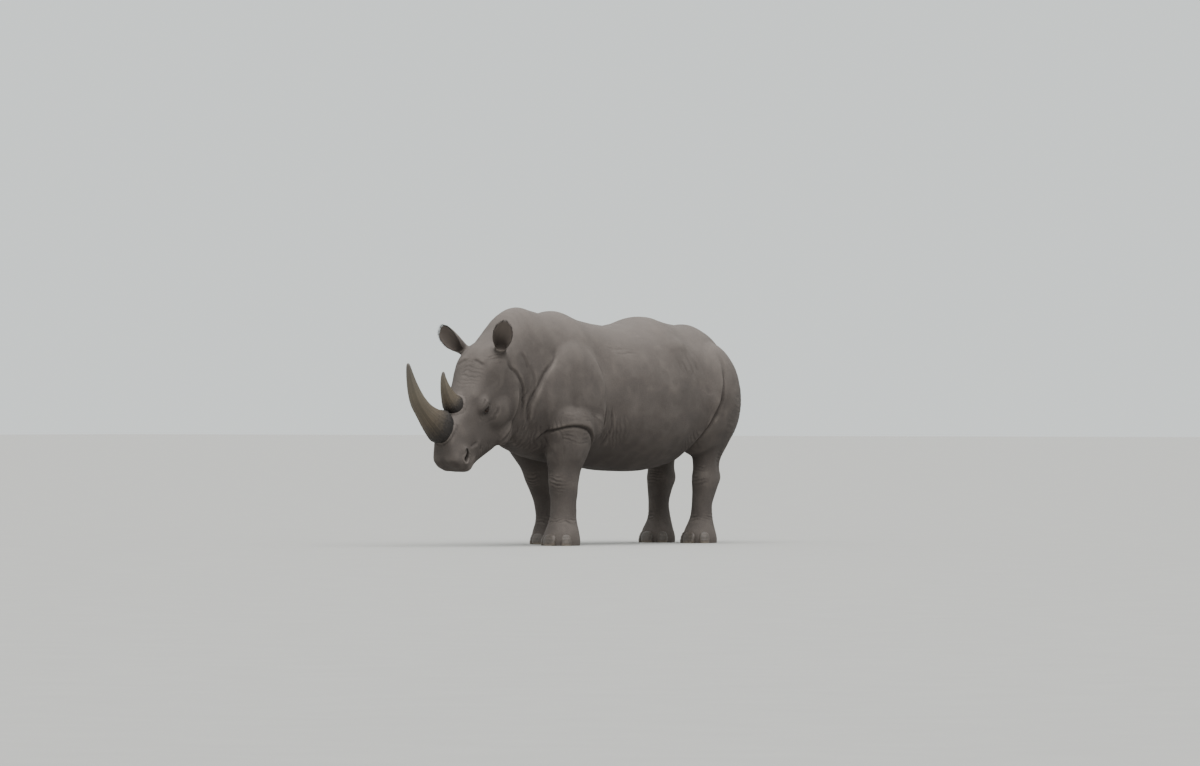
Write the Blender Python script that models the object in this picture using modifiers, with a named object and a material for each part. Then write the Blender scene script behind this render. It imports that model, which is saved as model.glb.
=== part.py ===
"""A white rhinoceros standing with its head low, at life size: a still display model.

Lengths are metres. -Y is towards the nose, +X is the animal's left, +Z is up.
The animal is drawn with Y measured back from the withers and Z up from the ground.
Its flesh is one smooth body, parted into named pieces by cuts GAP wide.
Last of all everything is moved along Y, so that the origin is under the middle of the box.
"""

import math

import bmesh
import bpy
import numpy as np
from mathutils import Matrix, Vector
from mathutils.bvhtree import BVHTree

# ---------------------------------------------------------------- driving dimensions
GAP = 0.0004  # clear space between two pieces that touch
VOXEL = 0.015  # grain of the mesh that joins the forms into one body
SOFTENING = 14  # smoothing steps that turn the joins between forms into fillets
BODY_TRIANGLES = 2600  # of the whole body, before it is parted

WITHERS = 1.742  # top of the shoulder
HEAD_PITCH = math.radians(65)  # how far the line from ears to lips dips
POLL = Vector((0, -0.82, 1.44))  # middle of the head's top, between the ears
EYE = Vector((0.4, -0.956, 0.998))  # a point straight out from the left eye
EYE_RADIUS = 0.021
EAR_LENGTH = 0.265
FORE_X = 0.245  # half the spacing of the forelegs
HIND_X = 0.235
# How far each foot stands behind its place under the joint above it.
STRIDE = {"foreleg_left": 0.0, "foreleg_right": 0.43, "hindleg_left": 0.0, "hindleg_right": 0.04}

HIDE = ("hide", (0.145, 0.125, 0.115), 0.85)
KERATIN = ("keratin", (0.11, 0.095, 0.075), 0.55)
NAIL = ("nail", (0.13, 0.115, 0.10), 0.6)
EYEBALL = ("eyeball", (0.02, 0.014, 0.01), 0.15)
BRISTLE = ("bristle", (0.025, 0.022, 0.02), 0.8)

# ---------------------------------------------------------------- sections of the lofts
# Each row: place along the axis, low edge, high edge, half width, height of the widest
# point, squareness (2 is an ellipse), and how far aside the middle is.
# The trunk and neck run back along Y, and low and high are heights.
TRUNK = [
    (-0.92, 1.10, 1.34, 0.08, 1.24, 2.0, 0),  # inside the head
    (-0.84, 0.98, 1.475, 0.17, 1.26, 2.0, 0),  # poll
    (-0.72, 0.86, 1.588, 0.225, 1.24, 2.1, 0),
    (-0.58, 0.77, 1.72, 0.25, 1.20, 2.1, 0),
    (-0.45, 0.70, 1.768, 0.275, 1.14, 2.1, 0),  # nuchal hump
    (-0.33, 0.655, 1.745, 0.30, 1.10, 2.1, 0),
    (-0.22, 0.635, 1.725, 0.34, 1.08, 2.1, 0),  # dip before the withers
    (-0.04, 0.61, WITHERS, 0.38, 1.06, 2.1, 0),  # withers
    (0.16, 0.59, 1.685, 0.40, 1.05, 2.15, 0),
    (0.36, 0.567, 1.652, 0.445, 1.03, 2.2, 0),
    (0.54, 0.550, 1.638, 0.475, 1.02, 2.25, 0),  # saddle
    (0.74, 0.542, 1.662, 0.49, 1.01, 2.25, 0),
    (0.94, 0.553, 1.712, 0.48, 1.02, 2.15, 0),  # top of the croup
    (1.14, 0.60, 1.674, 0.445, 1.05, 2.1, 0),
    (1.34, 0.72, 1.648, 0.41, 1.12, 2.15, 0),
    (1.50, 0.84, 1.646, 0.35, 1.18, 2.1, 0),  # dock
    (1.63, 0.98, 1.53, 0.30, 1.22, 2.1, 0),
    (1.71, 1.12, 1.36, 0.10, 1.24, 2.0, 0),
]
# The head runs down from the poll, and low and high are towards the jaw and the brow.
HEAD = [
    (-0.10, -0.22, 0.00, 0.13, -0.10, 2.0, 0),
    (-0.03, -0.30, 0.045, 0.185, -0.10, 2.4, 0),  # ears
    (0.08, -0.37, 0.078, 0.212, -0.10, 2.8, 0),
    (0.20, -0.415, 0.085, 0.212, -0.11, 2.8, 0),  # forehead
    (0.33, -0.445, 0.092, 0.192, -0.12, 2.6, 0),
    (0.45, -0.45, 0.10, 0.172, -0.13, 2.4, 0),  # eyes
    (0.56, -0.42, 0.125, 0.150, -0.11, 2.3, 0),
    (0.66, -0.355, 0.170, 0.130, -0.08, 2.3, 0),
    (0.75, -0.285, 0.168, 0.117, -0.05, 2.4, 0),  # nose
    (0.82, -0.225, 0.112, 0.120, -0.03, 2.8, 0),  # nostrils
    (0.862, -0.195, 0.083, 0.126, -0.04, 3.3, 0),  # lips
    (0.893, -0.175, 0.064, 0.127, -0.045, 3.6, 0),
    (0.916, -0.15, 0.044, 0.117, -0.045, 3.4, 0),
    (0.930, -0.11, 0.014, 0.082, -0.045, 2.8, 0),
]
# The legs run up from the ground, and low and high are towards nose and tail.
FORELEG = [
    (-0.04, -0.335, -0.075, 0.118, -0.20, 2.4, 0.0),
    (0.03, -0.345, -0.07, 0.132, -0.20, 2.4, 0.0),  # foot
    (0.10, -0.33, -0.075, 0.122, -0.20, 2.3, 0.0),
    (0.18, -0.30, -0.085, 0.100, -0.19, 2.2, 0.0),
    (0.29, -0.285, -0.085, 0.092, -0.185, 2.1, 0.0),  # cannon
    (0.39, -0.295, -0.075, 0.100, -0.185, 2.1, 0.0),
    (0.46, -0.30, -0.07, 0.103, -0.185, 2.1, 0.0),  # knee
    (0.54, -0.305, -0.05, 0.107, -0.18, 2.1, 0.0),
    (0.66, -0.325, 0.02, 0.132, -0.15, 2.1, 0.003),
    (0.76, -0.345, 0.065, 0.150, -0.14, 2.1, 0.007),  # forearm
    (0.90, -0.37, 0.09, 0.155, -0.14, 2.1, 0.01),
    (1.05, -0.36, 0.08, 0.13, -0.14, 2.1, 0.0),
    (1.15, -0.28, 0.02, 0.08, -0.14, 2.0, -0.02),
]
HINDLEG = [
    (-0.04, 1.285, 1.52, 0.112, 1.41, 2.4, -0.01),
    (0.03, 1.27, 1.525, 0.125, 1.41, 2.4, -0.01),  # foot
    (0.10, 1.285, 1.515, 0.112, 1.41, 2.3, -0.01),
    (0.18, 1.325, 1.505, 0.086, 1.42, 2.2, -0.01),
    (0.29, 1.335, 1.505, 0.074, 1.42, 2.1, -0.005),  # cannon
    (0.39, 1.345, 1.55, 0.080, 1.42, 2.1, 0.0),
    (0.48, 1.345, 1.585, 0.086, 1.44, 2.1, 0.0),  # hock
    (0.56, 1.355, 1.58, 0.084, 1.45, 2.1, 0.0),
    (0.65, 1.35, 1.60, 0.094, 1.46, 2.1, 0.0),
    (0.74, 1.31, 1.66, 0.12, 1.47, 2.1, 0.005),
    (0.86, 1.235, 1.735, 0.16, 1.47, 2.1, 0.01),  # thigh
    (1.00, 1.17, 1.785, 0.185, 1.47, 2.1, 0.005),
    (1.18, 1.16, 1.785, 0.185, 1.45, 2.1, -0.015),
    (1.36, 1.16, 1.67, 0.14, 1.40, 2.1, -0.06),
    (1.48, 1.22, 1.55, 0.08, 1.38, 2.0, -0.09),
]

# Each horn: the places (back, up) of its middle line, and its half width and half depth there.
HORNS = {
    "horn_front": (
        [(-1.218, 0.864), (-1.284, 0.887), (-1.362, 0.930), (-1.446, 0.993), (-1.518, 1.068),
         (-1.563, 1.148), (-1.598, 1.238), (-1.620, 1.318), (-1.6255, 1.348)],
        [(0.080, 0.104), (0.096, 0.126), (0.084, 0.096), (0.066, 0.070), (0.056, 0.058),
         (0.044, 0.045), (0.030, 0.030), (0.0165, 0.0165), (0.007, 0.007)],
    ),
    "horn_rear": (
        [(-1.095, 1.015), (-1.142, 1.053), (-1.184, 1.102), (-1.218, 1.166), (-1.238, 1.232),
         (-1.241, 1.272), (-1.242, 1.286)],
        [(0.078, 0.078), (0.076, 0.076), (0.054, 0.056), (0.037, 0.036), (0.0215, 0.0205),
         (0.0115, 0.0115), (0.005, 0.005)],
    ),
}
HORN_SIDES = 12
# Each ear: its root, the way it points and the way its hollow faces.
EARS = {
    "ear_left": ((0.165, -0.80, 1.43), (0.13, -0.10, 0.20), (0.656, -0.755, 0.0)),
    "ear_right": ((-0.165, -0.80, 1.43), (-0.138, -0.20, 0.215), (-0.05, -1.0, 0.0)),
}
# The leaf of an ear: part of its length, half width, and degrees that it wraps each way.
EAR_LEAF = [
    (0.14, 0.036, 148),
    (0.35, 0.054, 115),
    (0.60, 0.070, 88),
    (0.84, 0.065, 70),
    (1.00, 0.018, 55),
]
EAR_WALL = 0.008
# The stalk of an ear: distance along it from the root, and its radius.
EAR_STALK = [(-0.066, 0.022), (-0.035, 0.039), (0.0, 0.043), (0.038, 0.037)]
EYE_DEPTH = 0.012  # how far an eye's middle lies under the skin
ANKLE = 0.15
# Each foot: half spacing, front and back at the sole, and half width.
FOOT_SHAPE = {"fore": (FORE_X, -0.345, -0.07, 0.132), "hind": (HIND_X - 0.01, 1.27, 1.525, 0.125)}
# The legs' cuts: front and back, the slope's height inside and outside, and the knee's height.
LEG_CUTS = {"fore": (-0.60, 0.08, 0.575, 0.88, 0.50), "hind": (1.17, 2.0, 0.60, 1.06, 0.59)}
LEG_ROOM = 0.42  # how far out from the middle plane the slope rises
LEG_LEAN = 1.8  # how much a trailing leg's cuts lean, for each metre of its stride
NECK_CUTS = {"head": (-0.67, 1.2, 9), "neck": (-0.395, 1.25, -14)}  # back, up, degrees
JAW_CUT = (0.95, -0.05, 0.603)  # the lips' corner down and out on the head, and radians
NAIL_HEIGHT = 0.035
NAIL_LEAN = -14
# Each toe: degrees round the foot from straight ahead, and the nail's half width.
TOES = {"inner": (-58, 0.042), "middle": (0, 0.056), "outer": (58, 0.042)}
NAIL_DEEP, NAIL_TALL = 0.024, 0.052  # half depth and half height of a nail
NAIL_SUNK = 0.93  # how far out from the foot's middle a nail's middle is
# The tail: places (back, up) of its middle line, and its radius there.
TAIL = [
    (1.62, 1.46, 0.050),
    (1.71, 1.40, 0.044),
    (1.775, 1.29, 0.035),
    (1.80, 1.14, 0.028),
    (1.80, 1.00, 0.022),
    (1.795, 0.86, 0.018),
]
# The brush of hair at its end, in the same way.
BRUSH = [
    (1.795, 0.86 - GAP, 0.018),
    (1.793, 0.80, 0.026),
    (1.791, 0.74, 0.024),
    (1.790, 0.69, 0.015),
    (1.790, 0.66, 0.004),
]
SIDES = 32  # points round a section of the body
STEP = 0.03  # spacing of the sections between the given ones


# ---------------------------------------------------------------- frames
HEAD_DOWN = Vector((0, -math.cos(HEAD_PITCH), -math.sin(HEAD_PITCH)))
HEAD_UP = Vector((0, -math.sin(HEAD_PITCH), math.cos(HEAD_PITCH)))


def on_head(across, along, up):
    """A point of the head, from the distance down the head and out towards the brow."""
    return POLL + HEAD_DOWN * along + HEAD_UP * up + Vector((across, 0, 0))


def head_frame():
    """The matrix whose axes are across, along and up the head, at the poll."""
    return Matrix((
        (1, HEAD_DOWN.x, HEAD_UP.x, POLL.x),
        (0, HEAD_DOWN.y, HEAD_UP.y, POLL.y),
        (0, HEAD_DOWN.z, HEAD_UP.z, POLL.z),
        (0, 0, 0, 1),
    ))


def lag(height, stride):
    """How far back a leg's section is, from nothing at the elbow to the stride at the foot."""
    down = np.clip((0.92 - height) / 0.92, 0, 1)
    return stride * (1 - (1 - down) ** 1.8)


# ---------------------------------------------------------------- lofts
def between(rows, step):
    """Rows at even steps on smooth curves through the given rows (cubic, by their slopes)."""
    rows = np.array(rows, float)
    places = rows[:, 0]
    slopes = np.gradient(rows, places, axis=0)
    count = max(2, round((places[-1] - places[0]) / step))
    at = np.linspace(places[0], places[-1], count + 1)
    i = np.clip(np.searchsorted(places, at, side="right") - 1, 0, len(rows) - 2)
    span = (places[i + 1] - places[i])[:, None]
    t = (at - places[i])[:, None] / span
    start = rows[i] * (1 + 2 * t) * (1 - t) ** 2 + slopes[i] * span * t * (1 - t) ** 2
    end = rows[i + 1] * (3 - 2 * t) * t**2 + slopes[i + 1] * span * (t - 1) * t**2
    return start + end


def sections(rows):
    """Rings of (across, along, up) points: egg shapes with their own top and bottom."""
    at, low, high, half, widest, square, aside = between(rows, STEP).T[:, :, None]
    turn = np.linspace(0, 2 * math.pi, SIDES, endpoint=False)
    c, s = np.cos(turn), np.sin(turn)
    across = aside + half * np.sign(c) * np.abs(c) ** (2 / square)
    reach = np.where(s > 0, high - widest, widest - low)
    up = widest + reach * np.sign(s) * np.abs(s) ** (2 / square)
    return np.stack(np.broadcast_arrays(across, at, up), axis=-1)


def loft(name, rings):
    """A closed skin through rings of points, with a flat face over each end."""
    count, sides, _ = rings.shape
    ring = np.arange(count - 1)[:, None] * sides
    here = ring + np.arange(sides)
    beside = ring + (np.arange(sides) + 1) % sides
    walls = np.stack([here, beside, beside + sides, here + sides], axis=-1).reshape(-1, 4)
    last = (count - 1) * sides
    ends = [list(range(sides))[::-1], list(range(last, last + sides))]
    mesh = bpy.data.meshes.new(name)
    mesh.from_pydata(rings.reshape(-1, 3).tolist(), [], walls.tolist() + ends)
    shape = bmesh.new()
    shape.from_mesh(mesh)
    bmesh.ops.recalc_face_normals(shape, faces=shape.faces)
    shape.to_mesh(mesh)
    shape.free()
    return place(name, mesh)


def along_path(name, path, sizes, sides, square=2.0, side_first=Vector((1, 0, 0))):
    """A tapering piece along a smooth path, with (half width, half depth) at each point."""
    rows = [(i, *p, *s) for i, (p, s) in enumerate(zip(path, sizes))]
    rows = between(rows, 0.6)
    points, wide, deep = rows[:, 1:4], rows[:, 4, None], rows[:, 5, None]
    ahead = np.gradient(points, axis=0)
    ahead /= np.linalg.norm(ahead, axis=1, keepdims=True)
    side = np.array(side_first) - ahead * (ahead @ np.array(side_first))[:, None]
    side /= np.linalg.norm(side, axis=1, keepdims=True)
    out = np.cross(ahead, side)
    turn = np.linspace(0, 2 * math.pi, sides, endpoint=False)
    c = np.sign(np.cos(turn)) * np.abs(np.cos(turn)) ** (2 / square)
    s = np.sign(np.sin(turn)) * np.abs(np.sin(turn)) ** (2 / square)
    ring = (wide * c)[:, :, None] * side[:, None] + (deep * s)[:, :, None] * out[:, None]
    return loft(name, points[:, None] + ring)


# ---------------------------------------------------------------- objects
def place(name, mesh):
    """A new object in the animal's collection."""
    piece = bpy.data.objects.new(name, mesh)
    rhinoceros.objects.link(piece)
    return piece


def mass(name, centre, radii, turn=Matrix.Identity(3), around=24, up=14):
    """A rounded mass of muscle or bone: a sphere stretched to its radii."""
    mesh = bpy.data.meshes.new(name)
    shape = bmesh.new()
    stretch = Matrix.Diagonal((*radii, 1))
    matrix = Matrix.Translation(centre) @ turn.to_4x4() @ stretch
    bmesh.ops.create_uvsphere(shape, u_segments=around, v_segments=up, radius=1, matrix=matrix)
    shape.to_mesh(mesh)
    shape.free()
    return place(name, mesh)


def box(name, low, high, frame=Matrix.Identity(4)):
    """A cutter: a box between two corners in a frame of its own."""
    low, high = Vector(low), Vector(high)
    size = high - low
    mesh = bpy.data.meshes.new(name)
    shape = bmesh.new()
    matrix = frame @ Matrix.Translation((low + high) / 2) @ Matrix.Diagonal((*size, 1))
    bmesh.ops.create_cube(shape, size=1, matrix=matrix)
    bmesh.ops.recalc_face_normals(shape, faces=shape.faces)
    shape.to_mesh(mesh)
    shape.free()
    cutter = bpy.data.objects.new(name, mesh)
    cutters.objects.link(cutter)
    cutter.hide_render = True
    cutter.display_type = "WIRE"
    return cutter


def settle(piece):
    """The object with its modifiers made part of its mesh."""
    graph = bpy.context.evaluated_depsgraph_get()
    mesh = bpy.data.meshes.new_from_object(piece.evaluated_get(graph))
    piece.modifiers.clear()
    piece.data = mesh
    return piece


def cut(piece, cutter, operation="DIFFERENCE"):
    """The piece with a cutter taken away, joined on, or kept to the cutter's inside."""
    boolean = piece.modifiers.new("cut", "BOOLEAN")
    boolean.operation = operation
    boolean.solver = "EXACT"
    boolean.object = cutter
    settle(piece)
    bpy.data.objects.remove(cutter)
    return piece


def part_off(body, name, low, high, frame=Matrix.Identity(4)):
    """Part the body at a box: what is inside it is a new piece, GAP clear of the rest."""
    inside = box(name + "_in", low, high, frame)
    grow = Vector((GAP, GAP, GAP))
    around = box(name + "_out", Vector(low) - grow, Vector(high) + grow, frame)
    piece = place(name, body.data.copy())
    cut(piece, inside, "INTERSECT")
    cut(body, around)
    return piece


def seat(host, piece, grown):
    """A hollow in the host for a piece, made with the piece's own shape GAP larger."""
    cut(host, grown)
    return piece


# ---------------------------------------------------------------- the forms of the flesh
def forms():
    """The lofts and masses that the body is joined from."""
    yield loft("trunk_form", sections(TRUNK))
    head = sections(HEAD) @ np.array(head_frame().to_3x3()).T + np.array(POLL)
    yield loft("head_form", head)
    for name, stride in STRIDE.items():
        rows, middle = (FORELEG, FORE_X) if name.startswith("fore") else (HINDLEG, HIND_X)
        side = 1 if name.endswith("left") else -1
        ring = sections(rows)
        across, height, back = np.moveaxis(ring, -1, 0)
        leg = np.stack([side * (across + middle), back + lag(height, stride), height], axis=-1)
        yield loft(name + "_form", leg)
    for side in (-1, 1):
        yield from side_masses(side)
    across_head = head_frame().to_3x3()
    yield mass("nose_form", on_head(0, 0.69, 0.065), (0.104, 0.14, 0.105), across_head)
    yield mass("brow_form", on_head(0, 0.48, 0.05), (0.10, 0.13, 0.07), across_head)
    yield mass("lip_form", on_head(0, 0.862, -0.045), (0.130, 0.062, 0.086), across_head)


def side_masses(side):
    """The masses that stand on both sides: shoulder, haunch, hip, cheek, jaw, brow, nostril."""
    lean = Matrix.Rotation(math.radians(-12), 3, "X")
    yield mass("shoulder_form", (side * 0.20, -0.03, 1.12), (0.198, 0.45, 0.44), lean)
    yield mass("elbow_form", (side * 0.275, 0.03, 0.90), (0.125, 0.14, 0.15))
    yield mass("haunch_form", (side * 0.223, 1.428, 1.085), (0.238, 0.368, 0.442))
    head = head_frame().to_3x3()
    yield mass("cheek_form", on_head(side * 0.12, 0.36, -0.19), (0.088, 0.19, 0.14), head)
    yield mass("jaw_form", on_head(side * 0.10, 0.46, -0.355), (0.062, 0.14, 0.095), head)
    yield mass("orbit_form", on_head(side * 0.145, 0.42, -0.025), (0.052, 0.085, 0.05), head)
    yield mass("nostril_form", on_head(side * 0.09, 0.82, -0.04), (0.036, 0.06, 0.07), head)


def join_forms():
    """One smooth body: the forms melted together, softened, and thinned to few triangles."""
    shapes = list(forms())
    mesh = bpy.data.meshes.new("body")
    together = bmesh.new()
    for shape in shapes:
        together.from_mesh(shape.data)
        bpy.data.objects.remove(shape)
    together.to_mesh(mesh)
    together.free()
    body = place("body", mesh)
    melt = body.modifiers.new("melt", "REMESH")
    melt.mode = "VOXEL"
    melt.voxel_size = VOXEL
    soften = body.modifiers.new("soften", "SMOOTH")
    soften.factor = 0.5
    soften.iterations = SOFTENING
    settle(body)
    body.data.calc_loop_triangles()
    thin = body.modifiers.new("thin", "DECIMATE")
    thin.ratio = BODY_TRIANGLES / len(body.data.loop_triangles)
    settle(body)
    return cut(body, box("floor", (-2, -3, -1), (2, 3, 0)))


# ---------------------------------------------------------------- parting the body
def tilted(y, z, degrees):
    """A frame at a place on the middle plane, leaning about the X axis."""
    return Matrix.Translation((0, y, z)) @ Matrix.Rotation(math.radians(degrees), 4, "X")


def part_body(body):
    """The named pieces of flesh, cut from the body one after another."""
    ahead = (-1, -2, -2), (1, 0, 2)
    head = part_off(body, "head", *ahead, tilted(*NECK_CUTS["head"]))
    along, up, slope = JAW_CUT
    corner = Matrix.Translation((0, along, up)) @ Matrix.Rotation(slope, 4, "X")
    jaw = part_off(head, "lower_jaw", (-1, -1, -1), (1, 1, 0), head_frame() @ corner)
    neck = part_off(body, "neck", *ahead, tilted(*NECK_CUTS["neck"]))
    pieces = [head, jaw, neck]
    for name, stride in STRIDE.items():
        pieces += part_leg(body, name, stride)
    body.name = "trunk"
    return pieces + [body]


def part_leg(body, name, stride):
    """A leg's pieces: its top is cut on a slope from under the belly up to the flank."""
    side = 1 if name.endswith("left") else -1
    front, back, inner, outer, bend = LEG_CUTS[name[:4]]
    above, below = ("forearm", "shin") if name.startswith("fore") else ("thigh", "shank")
    rise = side * (outer - inner) / LEG_ROOM
    lean = -LEG_LEAN * stride
    frame = Matrix.Translation((side * 0.008, 0, inner)) @ Matrix(
        ((1, 0, 0, 0), (0, 1, lean, 0), (rise, 0, 1, 0), (0, 0, 0, 1))
    )
    low, high = (0, 1.2) if side > 0 else (-1.2, 0)
    upper = part_off(body, f"{name}_{above}", (low, front, -1.2), (high, back, 0), frame)
    lower = part_off(upper, f"{name}_{below}", (-1, -1, -1), (1, 2.5, bend))
    foot = part_off(lower, name + "_foot", (-1, -1, -1), (1, 2.5, ANKLE))
    return [upper, lower, foot]


# ---------------------------------------------------------------- horns, eyes, ears, nails, tail
def horn(name, grow=0.0):
    """A horn, or the hollow for it when it is grown by a gap."""
    path, sizes = HORNS[name]
    path = [Vector((0, y, z)) for y, z in path]
    path[0] += (path[0] - path[1]).normalized() * grow
    sizes = [(wide + grow, deep + grow) for wide, deep in sizes]
    return along_path(name, path, sizes, HORN_SIDES, 2.2)


def ear(name):
    """An ear: a cupped leaf on a short stalk. Gives the ear and the hollow for its stalk."""
    root, axis, opening = (Vector(v) for v in EARS[name])
    axis.normalize()
    opening = (opening - axis * opening.dot(axis)).normalized()
    beside = axis.cross(opening)
    along, wide, wrap = between(EAR_LEAF, 0.145).T[:, :, None]
    turn = np.radians(wrap) * np.linspace(-1, 1, 7)
    radius = wide / np.sin(np.minimum(np.radians(wrap), math.pi / 2))
    forward = radius * (1 - np.cos(turn)) - EAR_LEAF[0][1]
    across = radius * np.sin(turn)
    leaf = (
        np.array(root)
        + (along * EAR_LENGTH + 0 * turn)[..., None] * np.array(axis)
        + forward[..., None] * np.array(opening)
        + across[..., None] * np.array(beside)
    )
    rows, columns, _ = leaf.shape
    start = (np.arange(rows - 1)[:, None] * columns + np.arange(columns - 1)).reshape(-1, 1)
    faces = start + np.array([0, 1, columns + 1, columns])
    mesh = bpy.data.meshes.new(name)
    mesh.from_pydata(leaf.reshape(-1, 3).tolist(), [], faces.tolist())
    piece = place(name, mesh)
    wall = piece.modifiers.new("wall", "SOLIDIFY")
    wall.thickness = EAR_WALL
    wall.offset = 0
    settle(piece)
    stalk, grown = (
        along_path(
            name + "_stalk",
            [root + axis * (at + (grow if at > 0 else -grow)) for at, _ in EAR_STALK],
            [(radius + grow, radius + grow) for _, radius in EAR_STALK],
            12,
        )
        for grow in (0, GAP)
    )
    return cut(piece, stalk, "UNION"), grown


def eye(name, side, skin):
    """An eyeball set in the skin, and the hollow for it, a gap larger."""
    surface = skin.ray_cast(EYE, Vector((-1, 0, 0)))[0]
    centre = Vector((side * (surface.x - EYE_DEPTH), EYE.y, EYE.z))
    turn = Matrix.Rotation(math.pi / 2, 3, "Y")
    return [mass(name, centre, [EYE_RADIUS + more] * 3, turn, 10, 8) for more in (0, GAP)]


def nails(name, foot, stride):
    """The three nails of a foot, each a rounded wedge on its front, flat on the ground."""
    side = 1 if name.endswith("left") else -1
    middle, front, back, half = FOOT_SHAPE[name[:4]]
    centre = Vector((side * middle, (front + back) / 2 + stride, NAIL_HEIGHT))
    pieces = []
    tip = Matrix.Rotation(math.radians(NAIL_LEAN), 3, "X")
    for toe, (degrees, wide) in TOES.items():
        turn = math.radians(degrees) * side
        reach = Vector((half * math.sin(turn), -(back - front) / 2 * math.cos(turn), 0))
        nail, grown = (
            mass(
                f"{name}_nail_{toe}",
                centre + reach * NAIL_SUNK,
                (wide + grow, NAIL_DEEP + grow, NAIL_TALL + grow),
                Matrix.Rotation(turn, 3, "Z") @ tip,
                8,
                6,
            )
            for grow in (0, GAP)
        )
        pieces.append(seat(foot, nail, grown))
        cut(nail, box("floor", (-2, -3, -1), (2, 3, 0)))
    return pieces


def hanging(name, rows, grow=0.0):
    """The tail or its brush, hanging behind the rump, or the hollow for its root."""
    path = [Vector((0, y, z)) for y, z, _ in rows]
    path[0] += (path[0] - path[1]).normalized() * grow
    sizes = [(radius + grow, radius + grow) for *_, radius in rows]
    return along_path(name, path, sizes, 8)


def finish(piece, kind):
    """Its own material, and smooth shading but for the edges of the cuts."""
    label, colour, roughness = kind
    material = bpy.data.materials.new(f"{piece.name}_{label}")
    material.use_nodes = True
    shader = material.node_tree.nodes["Principled BSDF"]
    shader.inputs["Base Color"].default_value = (*colour, 1)
    shader.inputs["Roughness"].default_value = roughness
    shader.inputs["Metallic"].default_value = 0
    piece.data.materials.clear()
    piece.data.materials.append(material)
    piece.data.shade_smooth()
    piece.data.set_sharp_from_angle(angle=math.radians(50))


def stand_on_origin(pieces):
    """Parent all pieces to an empty that puts the origin under the middle of their box."""
    points = [v.co for piece in pieces for v in piece.data.vertices]
    middle = [(min(p[i] for p in points) + max(p[i] for p in points)) / 2 for i in (0, 1)]
    ground = bpy.data.objects.new("rhinoceros_frame", None)
    bpy.context.scene.collection.objects.link(ground)
    ground.location = (-middle[0], -middle[1], 0)
    for piece in pieces:
        piece.parent = ground


# ---------------------------------------------------------------- the model
for old in list(bpy.data.objects):
    bpy.data.objects.remove(old)
rhinoceros = bpy.data.collections.new("rhinoceros")
cutters = bpy.data.collections.new("cutters")
bpy.context.scene.collection.children.link(rhinoceros)
bpy.context.scene.collection.children.link(cutters)

flesh = join_forms()
flesh_pieces = part_body(flesh)
named = {piece.name: piece for piece in flesh_pieces}
skin = BVHTree.FromPolygons(
    [v.co for v in named["head"].data.vertices],
    [p.vertices for p in named["head"].data.polygons],
)
parts = [(piece, HIDE) for piece in flesh_pieces]
for name in HORNS:
    parts.append((seat(named["head"], horn(name), horn(name, GAP)), KERATIN))
for name, side in (("eye_left", 1), ("eye_right", -1)):
    parts.append((seat(named["head"], *eye(name, side, skin)), EYEBALL))
for name in EARS:
    parts.append((seat(named["head"], *ear(name)), HIDE))
tail = seat(named["trunk"], hanging("tail", TAIL), hanging("tail_hollow", TAIL, GAP))
parts += [(tail, HIDE), (hanging("tail_brush", BRUSH), BRISTLE)]
for name, stride in STRIDE.items():
    parts += [(nail, NAIL) for nail in nails(name, named[name + "_foot"], stride)]
for piece, kind in parts:
    finish(piece, kind)
stand_on_origin([piece for piece, _ in parts])
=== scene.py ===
"""The looks of the white rhinoceros: one skin over all its flesh, horns, nails, eyes and hair.

Lengths are metres. -Y is towards the nose, +X is the animal's left, +Z is up. Shapes are drawn
with Y measured back from the withers, as the solids are, and SHIFT moves them to the frame.
"""

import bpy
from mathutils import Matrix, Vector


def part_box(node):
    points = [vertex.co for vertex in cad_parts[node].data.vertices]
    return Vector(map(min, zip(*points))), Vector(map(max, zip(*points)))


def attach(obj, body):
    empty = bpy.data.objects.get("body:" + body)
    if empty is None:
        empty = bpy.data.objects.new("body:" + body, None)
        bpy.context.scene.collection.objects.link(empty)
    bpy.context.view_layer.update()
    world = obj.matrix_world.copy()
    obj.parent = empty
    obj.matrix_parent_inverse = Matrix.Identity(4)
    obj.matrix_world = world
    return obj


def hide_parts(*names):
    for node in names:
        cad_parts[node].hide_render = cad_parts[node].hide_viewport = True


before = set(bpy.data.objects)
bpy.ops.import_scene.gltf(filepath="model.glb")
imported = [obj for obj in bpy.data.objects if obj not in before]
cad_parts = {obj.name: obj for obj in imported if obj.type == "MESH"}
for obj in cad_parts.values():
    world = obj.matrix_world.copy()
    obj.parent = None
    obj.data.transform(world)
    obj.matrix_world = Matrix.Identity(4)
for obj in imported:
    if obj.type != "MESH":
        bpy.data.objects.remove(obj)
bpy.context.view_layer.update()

import math

import bmesh
import bpy
import numpy as np
from mathutils import Matrix, Vector
from mathutils.bvhtree import BVHTree

# ---------------------------------------------------------------- sizes
GRAIN = 0.006  # of the mesh that the skin is formed in
SOFTNESS = 0.0394  # reach of the smoothing that turns joins between forms into fillets
SOFT_LEVELS = 20  # steps from unsmoothed to fully smoothed
EAR_HOLD = 0.985  # how far an ear or the tail is kept out of the smoothing
LEAST_SOFT = 0.015  # share of the smoothing that even the ears and tail are given
SKIN_TRIANGLES = 190_000

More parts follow.
